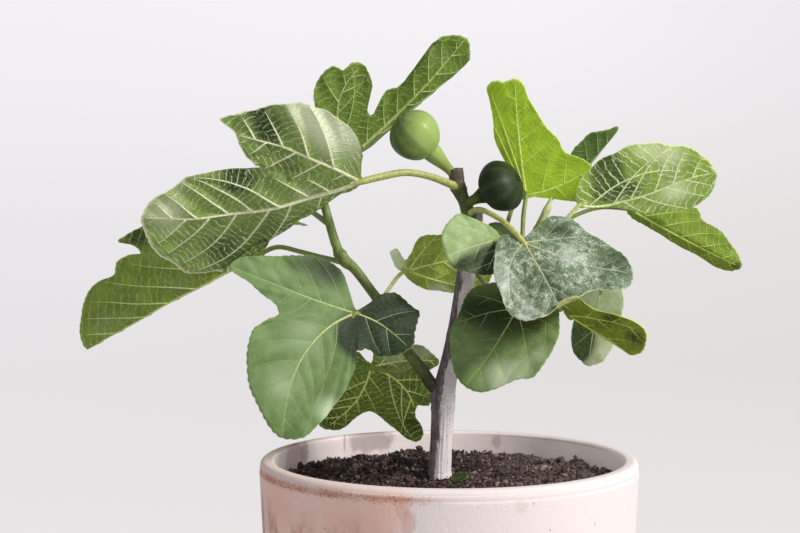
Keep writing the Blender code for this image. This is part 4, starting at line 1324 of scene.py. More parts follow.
# The spots of tone in these leaves paint light and shade: darker spots stand for shadows cast by neighbouring
# leaves and shade in folds, paler ones for light falling on the blade, beside each leaf's own darker and paler
# patches.
grow_leaf(
    "leaf_upper_left",
    foot=(-0.058, -0.045, 0.416), tip=(-0.200, -0.050, 0.391), faces=(-0.1, 0.9, 0.45),
    rim=[(-60, 4), (-33, 23), (-30, 52), (-30, 76), (-31, 98), (-30, 114), (-27, 127), (-24, 136),
         (-18, 141), (-11, 146), (-6, 147), (0, 146), (4, 139), (7, 127), (9, 119), (11, 112), (12, 104),
         (13.5, 95), (14.3, 87), (14.6, 79), (14.7, 71), (15, 65), (17, 67), (21, 75), (25, 81), (31, 87),
         (34, 99), (36, 95), (45, 82), (58, 70), (65, 64), (71, 55), (80, 46), (88, 38), (96, 30),
         (98, 20), (116, 3), (180, 2.5)],
    arch=0.006, cup=0.10, fold=(5, 8),
    stalk=[(0.006, -0.004, 0.412), (-0.012, -0.018, 0.419), (-0.029, -0.029, 0.422),
           (-0.046, -0.038, 0.419)],
    stalk_radius=0.0024, mains=[(-20, 0, 142), (37, 30, 95)],
    under=leaf_colours((134, 160, 74), (232, 240, 200), (238, 236, 200), (222, 228, 194), (52, 74, 24)),
    upper=DARK_UPPER, stem_colour=(178, 182, 104), seed=21, spacing=0.0185, slant=60, curve=26, quilt=0.0026,
    wave=0.0016, edge=0.9, clear=(1.0, 0.66, 0.12), glow=0.12, rung=0.0040, side_width=1.0,
    light_and_tone_spots=[(58, 62, 18, 1.2), (78, 36, 20, 1.1), (41, 68, 14, -2.0), (46, 84, 10, -1.3),
           (10, 80, 13, -2.0), (20, 48, 12, -0.9), (-22, 106, 18, -1.3), (-26, 70, 16, -0.8),
           (0, 130, 16, 0.9), (-8, 40, 10, 0.6), (12, 118, 10, 0.5)],
)
grow_leaf(
    "leaf_top",
    foot=(-0.063, 0.020, 0.437), tip=(0.018, 0.005, 0.502), faces=(-0.12, 0.95, 0.3),
    rim=[(-140, 4), (-110, 24), (-92, 44), (-84, 53), (-77, 58), (-71, 61), (-65, 62), (-60, 58),
         (-53, 62), (-47, 61), (-42, 55), (-37.5, 47), (-37, 36), (-36, 29), (-31, 26), (-26.5, 33),
         (-26, 41), (-24, 47), (-18, 52), (-16.5, 56), (-16.3, 63), (-16.1, 72), (-16, 82), (-15.8, 91),
         (-15, 96), (-13, 101), (-10, 106), (-6, 108), (-2, 103), (4, 94), (12, 78), (28, 56), (48, 48),
         (75, 42), (110, 24), (150, 4)],
    arch=0.003, fold=(70, 0),
    stalk=[(-0.088, 0.002, 0.409), (-0.085, 0.008, 0.420), (-0.075, 0.014, 0.430)],
    stalk_radius=0.0018, mains=[(0, -7, 106), (-110, -50, 57)],
    under=leaf_colours((116, 144, 54), (200, 218, 134), (206, 222, 136)),
    upper=DARK_UPPER, stem_colour=GREEN_STALK, seed=22, spacing=0.0150, quilt=0.0007, curve=34, ridges=0.5,
    clear=(0.9, 0.45, 0.15), glow=0.08, rung=0.0044,
    light_and_tone_spots=[(-13, 84, 12, 0.4), (-14, 70, 9, -0.8), (-30, 34, 12, -0.5)],
)
# Painted light: this leaf's bright yellow-green colours and its glow stand for daylight shining through it
# from behind.
grow_leaf(
    "leaf_bright",
    foot=(0.053, 0.015, 0.406), tip=(0.034, -0.005, 0.484), faces=(0.07, 0.96, 0.26),
    rim=[(-150, 3), (-60, 8), (-20, 28), (-17, 44), (-11, 57), (-8, 72), (-7, 80), (-4, 83), (-1, 83),
         (2, 81), (5, 82), (8, 82), (11, 78), (13, 70), (20, 58), (29, 49), (43, 44), (52, 40), (66, 44),
         (72, 47), (79, 49), (88, 49), (98, 48), (105, 50), (108, 46), (107, 32), (108, 17), (130, 3)],
    arch=0.004, fold=(4, 6), ruffle=0.0002, wave=0.0004,
    stalk=[(0.049, -0.004, 0.369), (0.050, 0, 0.379), (0.051, 0.008, 0.393)],
    stalk_radius=0.0016, mains=[(3, 7, 79), (-5, -6, 74), (-13, -12, 60), (92, 80, 48)], bare=(1, 2),
    under=leaf_colours((168, 204, 40), (214, 232, 112), (222, 236, 124)),
    upper=leaf_colours((140, 176, 60), (184, 206, 110), (196, 214, 116)),
    stem_colour=GREEN_STALK, seed=23, quilt=0.0004, spacing=0.0190, clear=(0.7, 0.35, 0.10), edge=0.5,
    ridges=0.2, slant=68, curve=32, glow=0.10,
)
grow_leaf(
    "leaf_behind_right",
    foot=(0.095, 0.048, 0.422), tip=(0.118, 0.038, 0.453), faces=(-0.04, 0.94, 0.34),
    rim=[(-150, 3), (-80, 14), (-58, 19), (-40, 23), (-28, 29), (-15, 33), (-6, 37), (-1, 41), (4, 38),
         (16, 34), (36, 24), (70, 14), (140, 3)],
    fold=(77, 0),
    stalk=[(0.057, -0.003, 0.379), (0.061, 0.009, 0.387), (0.070, 0.025, 0.402), (0.082, 0.040, 0.414)],
    stalk_radius=0.0012, mains=[(1, 3, 38)],
    under=leaf_colours((120, 150, 78), (160, 182, 116), (214, 224, 180)), upper=DARK_UPPER,
    stem_colour=GREEN_STALK, seed=24, quilt=0.0005, spacing=0.010, ridges=0.4, clear=(0.4, 0.3, 0.1),
    glow=0.06,
    light_and_tone_spots=[(30, 26, 9, 1.5)],
)
grow_leaf(
    "leaf_right",
    foot=(0.090, 0.010, 0.400), tip=(0.181, 0, 0.422), faces=(-0.07, 0.75, 0.65),
    rim=[(-140, 3), (-85, 14), (-62, 27), (-52, 38), (-44, 48), (-38, 56), (-31, 63), (-23, 73),
         (-15, 84), (-8, 90), (0, 94), (10, 93), (19, 88), (26, 80), (31, 70), (34, 58), (34, 40),
         (36, 27), (50, 8), (130, 3)],
    arch=0.003, fold=(8, 8),
    stalk=[(0.056, -0.004, 0.378), (0.070, 0, 0.381), (0.081, 0.006, 0.391)],
    stalk_radius=0.0015, mains=[(48, 0, 90, 2.0)],
    under=leaf_colours((148, 176, 70), (246, 252, 220), (236, 244, 190), (222, 234, 178), (70, 94, 28)),
    upper=DARK_UPPER, stem_colour=YELLOW_STALK, seed=25, slant=64, curve=30, spacing=0.0150, quilt=0.0018,
    clear=(1.0, 0.80, 0.12), edge=0.4, glow=0.34, rung=0.0048, side_width=1.0,
    light_and_tone_spots=[(-45, 34, 12, -2.0), (-10, 22, 12, -2.4), (2, 38, 8, -1.2), (-18, 70, 14, 0.9),
           (12, 66, 14, 0.9), (-32, 56, 10, 0.7)],
)
grow_leaf(
    "leaf_right_low",
    foot=(0.127, 0.033, 0.396), tip=(0.204, 0.048, 0.356), faces=(-0.1, 0.80, 0.60),
    rim=[(-140, 3), (-70, 14), (-40, 30), (-28, 42), (-26, 50), (-18, 54), (-16, 62), (-14, 69), (-8, 79),
         (-4, 87), (-1, 91), (4, 87), (7, 78), (8, 64), (11, 47), (13, 35), (20, 20), (60, 6), (140, 3)],
    arch=0.002, fold=(0, 45), ruffle=0.0005,
    stalk=[(0.051, -0.004, 0.370), (0.068, 0.017, 0.376), (0.081, 0.031, 0.388), (0.104, 0.038, 0.397)],
    stalk_radius=0.0014, mains=[(6, 0, 86)],
    under=leaf_colours((124, 150, 40), (196, 214, 104), (208, 222, 112)), upper=DARK_UPPER,
    stem_colour=GREEN_STALK, glow=0.06, rung=0.0046, seed=26, quilt=0.0006, slant=44, spacing=0.0160,
    clear=(0.9, 0.40, 0.10), ridges=0.35, teeth=0.0011,
    light_and_tone_spots=[(0, 88, 5, -1.4), (-6, 78, 5, -0.5), (30, 20, 14, -0.6)],
)
grow_leaf(
    "leaf_silver",
    foot=(0.049, -0.050, 0.376), tip=(0.070, -0.080, 0.338), faces=(0.06, -0.76, 0.64),
    rim=[(-150, 15), (-128, 17), (-108, 18), (-75, 25), (-60, 34), (-50, 41), (-41, 50), (-32, 58),
         (-25, 61), (-16, 60), (-7, 59), (2, 60), (12, 58), (18, 54), (27, 55), (34, 61), (39, 70),
         (45, 74), (52, 74), (60, 70), (67, 61), (75, 55), (84, 46), (98, 42), (110, 43), (121, 37),
         (128, 16), (170, 5)],
    arch=0.003, fold=(-8, -4),
    stalk=[(0.013, 0.002, 0.394), (0.021, -0.016, 0.397), (0.034, -0.032, 0.391), (0.043, -0.044, 0.383)],
    stalk_radius=0.0019, mains=[(-3, 0, 55), (38, 52, 70), (-62, -32, 52), (86, 80, 44)],
    under=leaf_colours((168, 172, 96), (206, 206, 150), (214, 206, 150)),
    upper=leaf_colours((92, 116, 76), (176, 190, 160), (204, 212, 186), (204, 214, 196), (46, 66, 34)),
    stem_colour=(208, 210, 126), seed=27, sheen=0.2, rough=0.45, wave=0.0018, edge=0.9, dust_glints=0.95,
    light_and_tone_spots=[(-66, 26, 14, 0.5), (-42, 42, 14, 0.5), (-20, 54, 10, 0.5), (-8, 30, 11, -0.6),
           (8, 48, 12, -0.9), (40, 34, 10, 0.5), (52, 48, 9, 0.3), (66, 26, 10, 0.5), (98, 28, 9, -1.4),
           (104, 40, 8, 0.8), (56, 62, 12, -1.2), (28, 54, 8, 0.3)],
    curls=[(4, 17, 8, 2.2)],
)
# Painted shadow: the dark spots on this leaf stand for the shadow that the silver leaf casts on it.
grow_leaf(
    "leaf_centre",
    foot=(0.032, -0.042, 0.378), tip=(-0.002, -0.056, 0.366), faces=(0.22, -0.88, 0.43),
    rim=[(-130, 4), (-85, 10), (-62, 22), (-56, 31), (-43, 34), (-26, 38), (-9, 38), (3, 38), (16, 37),
         (33, 31), (56, 26), (90, 16), (140, 4)],
    fold=(5, 5),
    stalk=[(0.016, 0.005, 0.379), (0.024, -0.018, 0.379)],
    stalk_radius=0.0015, mains=[(-6, -2, 36), (56, 46, 24), (-50, -40, 28)],
    under=GREEN_UNDER,
    upper=leaf_colours((174, 198, 140), (196, 212, 160), (200, 216, 160), None, (44, 62, 28)),
    stem_colour=YELLOW_STALK, seed=28, quilt=0.0008,
    light_and_tone_spots=[(54, 28, 16, -4.5), (28, 38, 11, -2.8), (80, 13, 10, -2.2)],
)
grow_leaf(
    "leaf_front_dark",
    foot=(0.045, -0.040, 0.332), tip=(0.013, -0.068, 0.285), faces=(-0.17, -0.79, 0.59),
    rim=[(-150, 14), (-115, 26), (-92, 32), (-73, 35), (-58, 37), (-50, 40), (-35, 48), (-23, 54),
         (-11, 62), (-1, 66), (9, 66), (16, 64), (24, 60), (32, 58), (41, 58), (47, 55), (54, 51),
         (65, 45), (74, 40), (91, 33), (118, 26), (150, 14), (180, 6)],
    arch=0.003, fold=(8, 8),
    stalk=[(0.035, -0.003, 0.364), (0.040, -0.022, 0.353), (0.043, -0.035, 0.342)],
    stalk_radius=0.0016, mains=[(10, -1, 63), (-54, -44, 42), (44, 40, 51), (86, 82, 32), (-90, -80, 30)],
    under=GREEN_UNDER,
    upper=leaf_colours((122, 148, 86), (160, 180, 112), (170, 188, 104), (196, 210, 172), (36, 56, 18)),
    stem_colour=GREEN_STALK, seed=29, dust_glints=0.22, quilt=0.0006, spacing=0.0170, slant=60, curve=34,
    light_and_tone_spots=[(22, 54, 15, 1.2), (52, 44, 10, 0.8), (-30, 12, 22, -1.5), (70, 22, 12, -0.7),
           (-60, 32, 12, -1.0), (-8, 60, 10, -0.8)],
)
grow_leaf(
    "leaf_low_right",
    foot=(0.080, -0.020, 0.326), tip=(0.122, -0.014, 0.299), faces=(0.22, 0.64, 0.74),
    rim=[(-150, 6), (-125, 15), (-100, 21), (-82, 20), (-64, 22), (-52, 33), (-46, 41), (-41, 48),
         (-36, 52), (-30, 54), (-19, 55), (-8, 55), (-1, 52), (8, 46), (20, 38), (40, 22), (90, 8),
         (150, 3)],
    fold=(85, 0), ruffle=0.0004,
    stalk=[(0.047, -0.005, 0.365), (0.061, -0.012, 0.355), (0.072, -0.018, 0.342)],
    stalk_radius=0.0014, mains=[(-4, 0, 51), (-48, -34, 46)],
    under=leaf_colours((134, 156, 48), (206, 218, 104), (222, 232, 108), None, (62, 60, 14)),
    upper=DARK_UPPER, stem_colour=GREEN_STALK, seed=30, quilt=0.0006, spacing=0.0200, edge=1.0, ridges=0.4,
    clear=(0.8, 0.30, 0.10), curve=34, glow=0.08, rung=0.0050,
    light_and_tone_spots=[(-44, 30, 7, -1.4), (-22, 47, 9, -1.3), (-22, 22, 6, -0.8)],
)
# Painted shadow: the dark spots on this leaf stand for the shadow cast on its lower part by the leaf in front
# of it.
grow_leaf(
    "leaf_behind_low_right",
    foot=(0.104, 0.008, 0.341), tip=(0.096, 0.014, 0.288), faces=(0.42, 0.9, 0.11),
    rim=[(-150, 8), (-110, 14), (-75, 18), (-49, 23), (-28, 36), (-17, 44), (-12, 49), (-5, 52), (1, 54),
         (7, 52), (14, 49), (22, 42), (36, 28), (60, 19), (100, 15), (150, 8)],
    fold=(8, 8), ruffle=0.0004,
    stalk=[(0.040, -0.003, 0.365), (0.066, 0.006, 0.361), (0.090, 0.010, 0.351)],
    stalk_radius=0.0010, mains=[(0, 0, 48)],
    under=leaf_colours((220, 232, 192), (222, 232, 194), (202, 214, 170), None, (74, 96, 46)),
    upper=DARK_UPPER, stem_colour=GREEN_STALK, seed=31, quilt=0.0003, clear=(0.2, 0.1, 0.1), ridges=0.2,
    spacing=0.030, glow=0.12, light_and_tone_spots=[(13, 38, 9, -4.0), (16, 27, 7, -4.0), (11, 47, 6, -3.0)],
)
grow_leaf(
    "leaf_middle",
    foot=(-0.028, 0.020, 0.354), tip=(0.028, 0.042, 0.345), faces=(-0.28, 0.87, 0.4),
    rim=[(-180, 9), (-158, 14), (-144, 20), (-132, 19), (-116, 8), (-96, 12), (-89, 19), (-82, 25),
         (-74, 28), (-64, 31), (-52, 36), (-38, 46), (-24, 58), (-14, 61), (-4, 62), (4, 61), (12, 52),
         (18, 42), (25, 33), (35, 26), (46, 18), (62, 10), (100, 5), (150, 4)],
    fold=(10, 10),
    stalk=[(-0.047, -0.013, 0.334), (-0.042, 0, 0.341), (-0.037, 0.012, 0.348), (-0.033, 0.018, 0.352)],
    stalk_radius=0.0014, mains=[(18, 6, 58), (-24, -20, 56), (-70, -62, 31), (-146, -140, 17)],
    under=leaf_colours((154, 176, 74), (218, 228, 140), (220, 228, 134), (206, 218, 184)),
    upper=DARK_UPPER, stem_colour=YELLOW_STALK, seed=32, quilt=0.0008, ridges=0.5, clear=(0.8, 0.3, 0.10),
    rung=0.0050, glow=0.14, light_and_tone_spots=[(-142, 16, 8, 2.0), (-160, 10, 5, 1.2), (26, 30, 9, 0.9)],
)
# Painted light and shade: the dark spots on this leaf stand for shade cast by the leaves above it, the pale
# ones for light falling on it.
grow_leaf(
    "leaf_front_left",
    foot=(-0.061, -0.055, 0.330), tip=(-0.105, -0.100, 0.254), faces=(0.29, -0.89, 0.35),
    rim=[(-160, 3), (-134, 12), (-133, 21), (-132, 27), (-125, 37), (-114, 46), (-99, 56), (-86, 73),
         (-79, 87), (-75, 90), (-72, 83), (-69, 73), (-65, 64), (-58, 54), (-54, 54), (-50, 64),
         (-46, 73), (-42, 77), (-36, 82), (-30, 86), (-21, 91), (-12, 95), (-5, 98), (0, 98), (4, 96),
         (7, 92), (10, 83), (13, 74), (17, 63), (21, 51), (26, 38), (27, 29), (36, 25), (47, 27),
         (54, 33), (62, 36), (74, 40), (90, 43), (105, 41), (115, 42), (124, 44), (130, 39), (140, 36),
         (150, 33), (156, 26), (158, 12)],
    arch=0.004, fold=(8, 8),
    stalk=[(-0.039, -0.011, 0.319), (-0.043, -0.028, 0.319), (-0.052, -0.045, 0.325)],
    stalk_radius=0.0020, mains=[(-38, -1, 95), (-71, -75, 85), (106, 84, 42)],
    under=GREEN_UNDER,
    upper=leaf_colours((118, 146, 88), (158, 180, 120), (160, 184, 112), (186, 206, 166), (26, 46, 14)),
    stem_colour=GREEN_STALK, seed=33, spacing=0.0150, slant=60, curve=34, wave=0.0012, quilt=0.0009,
    teeth=0.0009,
    light_and_tone_spots=[(100, 28, 20, -3.2), (128, 28, 14, -2.8), (62, 20, 13, -2.8), (18, 16, 13, -2.2),
           (38, 34, 9, -1.2), (-120, 30, 13, -1.0), (-106, 43, 14, -0.9), (-94, 54, 9, -0.6),
           (-30, 40, 18, 0.6), (-14, 74, 14, 0.6), (14, 70, 10, 1.3), (-80, 60, 10, 0.4),
           (4, 92, 8, -0.5), (-34, 82, 8, -0.5)],
)
grow_leaf(
    "leaf_low",
    foot=(-0.054, 0.012, 0.287), tip=(-0.022, 0.038, 0.230), faces=(0, 0.91, 0.42),
    rim=[(-150, 4), (-139, 13), (-110, 22), (-92, 32), (-83, 38), (-71, 44), (-62, 48), (-50, 40),
         (-38, 44), (-27, 52), (-22, 53), (-16, 47), (-10, 51), (-9, 60), (-5, 67), (0, 70), (4, 66),
         (10, 56), (18, 47), (28, 41), (36, 42), (42, 48), (47, 58), (52, 65), (58, 68), (64, 66),
         (72, 46), (80, 26), (106, 12), (140, 12), (165, 17), (174, 17), (182, 7)],
    arch=0.003, fold=(8, 8),
    stalk=[(-0.021, -0.007, 0.292), (-0.031, 0.003, 0.286), (-0.042, 0.010, 0.285)],
    stalk_radius=0.0016, mains=[(-40, -1, 67), (36, 57, 62), (-78, -64, 45)],
    under=leaf_colours((114, 140, 54), (222, 232, 156), (238, 244, 150)),
    upper=DARK_UPPER, stem_colour=GREEN_STALK, seed=34, spacing=0.0130, slant=48, curve=24, quilt=0.0010,
    clear=(1.0, 0.70, 0.12), glow=0.12, rung=0.0042, side_width=0.9,
    light_and_tone_spots=[(60, 56, 12, -1.0), (-4, 56, 12, -1.2), (-24, 34, 9, -0.6), (-100, 22, 13, 1.6),
           (-74, 38, 9, 1.0), (-40, 20, 8, 0.4)],
)
grow_leaf(
    "leaf_far_left",
    foot=(-0.132, 0.015, 0.363), tip=(-0.253, 0.022, 0.298), faces=(-0.14, 0.92, 0.36),
    rim=[(-150, 4), (-80, 20), (-45, 60), (-25, 90), (-10, 120), (-3, 134), (0, 138), (6, 136), (10, 131),
         (14, 126), (19, 118), (21, 110), (22, 101), (28, 97), (31, 89), (32, 81), (35, 85), (37, 97),
         (41, 91), (45, 83), (60, 68), (80, 44), (110, 14), (150, 4)],
    arch=0.004, fold=(0, 85),
    stalk=[(-0.071, -0.013, 0.361), (-0.088, -0.002, 0.3645), (-0.102, 0.006, 0.3675),
           (-0.117, 0.012, 0.3705), (-0.127, 0.015, 0.3675)],
    stalk_radius=0.0017, mains=[(0, 0, 133)],
    under=leaf_colours((126, 150, 56), (214, 228, 154), (212, 226, 144)), upper=DARK_UPPER,
    stem_colour=GREEN_STALK, seed=35, spacing=0.0230, slant=34, curve=-6, quilt=0.0008,
    clear=(1.0, 0.50, 0.12), rung=0.0050, side_width=1.1, glow=0.06,
    light_and_tone_spots=[(41, 84, 9, -1.8), (20, 104, 10, -0.4), (4, 118, 14, 0.4), (8, 60, 14, 0.3)],
)
grow_leaf(
    "leaf_small",
    foot=(0.043, -0.022, 0.376), tip=(0.027, -0.020, 0.386), faces=(0.31, -0.72, 0.62),
    rim=[(-140, 2.5), (-70, 9), (-36, 14), (-20, 18), (-4, 20), (8, 18), (24, 15), (60, 9), (140, 2.5)],
    stalk=[(0.039, -0.003, 0.366), (0.041, -0.014, 0.371)],
    stalk_radius=0.0010, mains=[(0, 0, 18)],
    under=GREEN_UNDER, upper=leaf_colours((58, 78, 20), (112, 132, 58), (124, 140, 64)),
    stem_colour=GREEN_STALK, seed=36, quilt=0.0004, spacing=0.006,
)
BACK_LEAVES = {
    "leaf_back_left": dict(
        foot=(-0.129, 0.070, 0.391), tip=(-0.205, 0.135, 0.380), faces=(0.1, 0.35, 0.93), length=100,
        left=0.72, right=0.7, arch=0.010,
        stalk=[(-0.083, -0.006, 0.388), (-0.100, 0.022, 0.397), (-0.117, 0.052, 0.397)],
        stalk_radius=0.0017),
    "leaf_back_high": dict(
        foot=(-0.111, 0.065, 0.432), tip=(-0.150, 0.135, 0.446), faces=(0.1, 0.25, 0.95), length=76,
        arch=0.006, stalk=[(-0.086, -0.002, 0.398), (-0.093, 0.026, 0.415), (-0.103, 0.050, 0.428)],
        stalk_radius=0.0015),
    "leaf_back_right": dict(
        foot=(0.060, 0.078, 0.424), tip=(0.072, 0.147, 0.410), faces=(0.1, 0.30, 0.93), length=70, left=0.6,
        arch=0.007, stalk=[(0.035, -0.003, 0.365), (0.040, 0.030, 0.384), (0.050, 0.060, 0.410)],
        stalk_radius=0.0016),
    "leaf_back_low_right": dict(
        foot=(0.044, 0.055, 0.327), tip=(0.058, 0.118, 0.296), faces=(0.05, 0.45, 0.85), length=70,
        arch=0.006, stalk=[(0.013, 0.003, 0.361), (0.024, 0.024, 0.346), (0.036, 0.043, 0.334)],
        stalk_radius=0.0016),
    "leaf_back_low_left": dict(
        foot=(-0.085, 0.050, 0.311), tip=(-0.116, 0.112, 0.268), faces=(-0.1, 0.55, 0.80), length=80,
        arch=0.007, stalk=[(-0.037, -0.010, 0.315), (-0.052, 0.014, 0.317), (-0.072, 0.038, 0.315)],
        stalk_radius=0.0017),
}
BACK_UPPER = leaf_colours((112, 136, 84), (150, 170, 116), (176, 192, 116))
for seed_number, (leaf_name, shape) in enumerate(BACK_LEAVES.items(), 37):
    length = shape.pop("length")
    rim = palmate_rim(length, shape.pop("left", 1.0), shape.pop("right", 1.0))
    grow_leaf(leaf_name, rim=rim, mains=palmate_mains(length), under=GREEN_UNDER,
              upper=BACK_UPPER, stem_colour=GREEN_STALK, seed=seed_number, **shape)


# Two young figs stand on short necks: a fresh green one turned to the light, and a dark one beside it. Small
# brown scales hold each neck at its foot, the skin is faintly ribbed, and tiny scales close the eye.
FIG_BLEND = 1.7
FIG_SIDES = 64
EYE_SCALES = 9
COLLAR_SCALES = 7
COLLAR_SCALE_SIZE = 0.0016


def fig_rows(neck, centre, radius, neck_radius, crown, drawn):
    """Rows of place and radius: a slim neck that widens by a smooth step and a ball drawn out a little toward
    it, added up as powers so that they meet in a soft hollow, and a crown that is half an ellipse."""
    start = np.array(neck, float)
    axis = np.array(centre, float) - start
    length = np.linalg.norm(axis)
    axis = axis / length
    over = np.radians(np.linspace(3, 88, 22))
    toward = np.linspace(0, 1, 44)
    ball = radius * np.sqrt(np.maximum(1 - ((1 - toward) * length / (drawn * radius)) ** 2, 0))
    step = np.clip((toward - 0.2) / 0.45, 0, 1)
    foot_ring = 0.12 * np.exp(-toward * length / 0.002)
    neck_here = neck_radius * (1 + foot_ring + 1.05 * step**2 * (3 - 2 * step))
    body = (ball**FIG_BLEND + neck_here**FIG_BLEND) ** (1 / FIG_BLEND)
    at = np.concatenate([toward * length, length + crown * radius * np.sin(over)])
    radii = np.concatenate([body, body[-1] * np.cos(over)])
    return np.column_stack([start + axis * at[:, None], radii]), axis


def fig_material(name, light, shade, neck_colour, coat_weight, paleness):
    """Fig skin: green with fine pale dots and paler ribs, deeper in soft patches, with painted shade on the
    side turned away from the sun, and of another colour at the neck."""
    material, tree, shader = new_material(name, 0.48, Specular_IOR_Level=0.24, Coat_Weight=coat_weight,
                                          Coat_Roughness=0.35)
    place = object_place(tree)
    patches = noise(tree, place, 70, 4, 0.55)
    # Painted light and shade: the side that faces the sun takes the light colour, the side turned away the
    # shade colour.
    sunny = calc(tree, "SUBTRACT", attribute(tree, "sunward"), patches)
    colour = blend(tree, ramp(tree, sunny, 0.25, -0.75), light, shade)
    paler = blend(tree, paleness, colour, FIG_DOT)
    colour = coat(tree, colour, paler, ramp(tree, attribute(tree, "rib"), 0.0, 1.0), 0.25)
    colour = coat(tree, colour, FIG_DOT, ramp(tree, cells(tree, place, 620), 0.26, 0.12), paleness * 0.6)
    colour = blend(tree, ramp(tree, attribute(tree, "along"), 0.40, 0.16), colour, neck_colour)
    connect(tree, shader.inputs["Base Color"], colour)
    grain = noise(tree, place, 1300, 3)
    relief(tree, shader, plus(tree, patches, times(tree, grain, 0.25)), 0.0004)
    return material


def small_scales(middles, size, chance):
    """Small knobbly scales, one at each place, as points and as faces numbered from 0."""
    corners, ball = ball_shape()
    shapes = corners * chance.uniform(0.8, 1.15, (len(middles), len(corners), 1)) * size
    faces = (ball + len(corners) * np.arange(len(middles))[:, None, None]).reshape(-1, 3)
    return (middles[:, None] + shapes).reshape(-1, 3), faces


def add_fig(name, node, neck, centre, radius, neck_radius, crown, drawn, material, ribs):
    """The fig's body in ribbed rings, with a dimple and small scales at its eye and a collar at its neck."""
    rows, axis = fig_rows(neck, centre, radius, neck_radius, crown, drawn)
    share = (rows[:, :3] - rows[0, :3]) @ axis
    share = share / share[-1]
    side = unit(np.cross(axis, (0.2, 1, 0.1)))
    other = np.cross(axis, side)
    chance = np.random.default_rng(ribs)

    def swell(turn, walked):
        ribbed = 0.012 * np.sin(ribs * turn + 0.4) + 0.006 * np.sin((ribs + 4) * turn + 2)
        return 1 + ribbed * np.sin(np.pi * np.clip(share[:, None] * 1.15 - 0.12, 0, 1))

    def ring_of(count):
        turn = full_turn(count)[:, None]
        return side * np.cos(turn) + other * np.sin(turn)

    rings = carried_rings(rows, FIG_SIDES, swell)
    points, faces = closed_rings(rings, rows[0, :3], rows[-1, :3] - axis * radius * 0.05)
    eye_middles = rows[-1, :3] + ring_of(EYE_SCALES) * radius * 0.12 - axis * radius * 0.03
    eye_points, eye_faces = small_scales(eye_middles, radius * 0.08, chance)
    steps = axis * chance.uniform(0.0002, 0.0018, (COLLAR_SCALES, 1))
    collar_middles = rows[0, :3] + ring_of(COLLAR_SCALES) * neck_radius * 0.75 + steps
    collar_points, collar_faces = small_scales(collar_middles, COLLAR_SCALE_SIZE, chance)
    faces += [eye_faces + len(points), collar_faces + len(points) + len(eye_points)]
    piece = new_piece(name, np.concatenate([points, eye_points, collar_points]), faces,
                      [material, stub_wood], slots=[0, 0, 0, 0, 1], replaces=[node])
    along = [np.repeat(share, FIG_SIDES), [0, 1], np.ones(len(eye_points)), np.zeros(len(collar_points))]
    shade_attribute(piece, "along", np.concatenate(along))
    rib = np.broadcast_to(np.sin(ribs * full_turn(FIG_SIDES) + 0.4), rings.shape[:2]).ravel()
    rest = np.zeros(2 + len(eye_points) + len(collar_points))
    shade_attribute(piece, "rib", np.concatenate([rib, rest]))
    sunward = (unit(rings - np.array(centre)) @ SUN_SIDE).ravel()
    shade_attribute(piece, "sunward", np.concatenate([sunward, rest]))


FIG_DOT = paint(186, 204, 140)
fresh_skin = fig_material("fresh_fig_skin", light=paint(156, 182, 94), shade=paint(78, 104, 38),
                          neck_colour=paint(144, 158, 80), coat_weight=0.30, paleness=0.50)
dark_skin = fig_material("dark_fig_skin", light=paint(38, 56, 24), shade=paint(28, 42, 14),
                         neck_colour=paint(96, 114, 50), coat_weight=0.0, paleness=0.12)
add_fig("fig_light_fruit", "fig_light", neck=(0.007, -0.001, 0.417), centre=(-0.0240, -0.012, 0.4480),
        radius=0.0150, neck_radius=0.0033, crown=1.0, drawn=1.12, material=fresh_skin,
        ribs=11)
add_fig("fig_dark_fruit", "fig_dark", neck=(0.011, 0, 0.4005), centre=(0.0358, -0.012, 0.4132),
        radius=0.0155, neck_radius=0.0034, crown=0.82, drawn=0.90, material=dark_skin,
        ribs=10)


# The bud at the right shoot's tip is still rolled up in its pale sheath, and one seed leaf has come up in
# the soil in front of the stem.
bud_material = rib_material("bud_sheath", paint(206, 214, 150), paint(214, 220, 170))
limb("bud_sheath", [(0.0628, 0, 0.3880), (0.0634, 0.0002, 0.3897), (0.0665, 0.0008, 0.3965),
                    (0.0700, 0.0020, 0.4050)],
     [0.0020, 0.0020, 0.0027, 0.0004], 24, ridged(41, 0.05), bud_material, ["bud"])
grow_leaf(
    "sprout",
    foot=(0.002, -0.021, SOIL_TOP + 0.0030), tip=(0.013, -0.024, SOIL_TOP + 0.0060), faces=(-0.1, -0.7, 0.7),
    rim=[(-140, 1.5), (-60, 3), (-25, 7), (-10, 11), (0, 12), (9, 11.5), (25, 8), (60, 3), (140, 1.5)],
    stalk=[(0.0002, -0.020, SOIL_TOP - 0.0010), (0.0004, -0.020, SOIL_TOP + 0.0010)],
    stalk_radius=0.0007, mains=[(0, 0, 11)],
    under=GREEN_UNDER, upper=leaf_colours((64, 80, 36), (90, 106, 52), (100, 116, 56)),
    stem_colour=(110, 120, 50), seed=42, quilt=0.0002, spacing=0.005, ruffle=0.0003, wave=0.0002,
    teeth=0.0002,
)


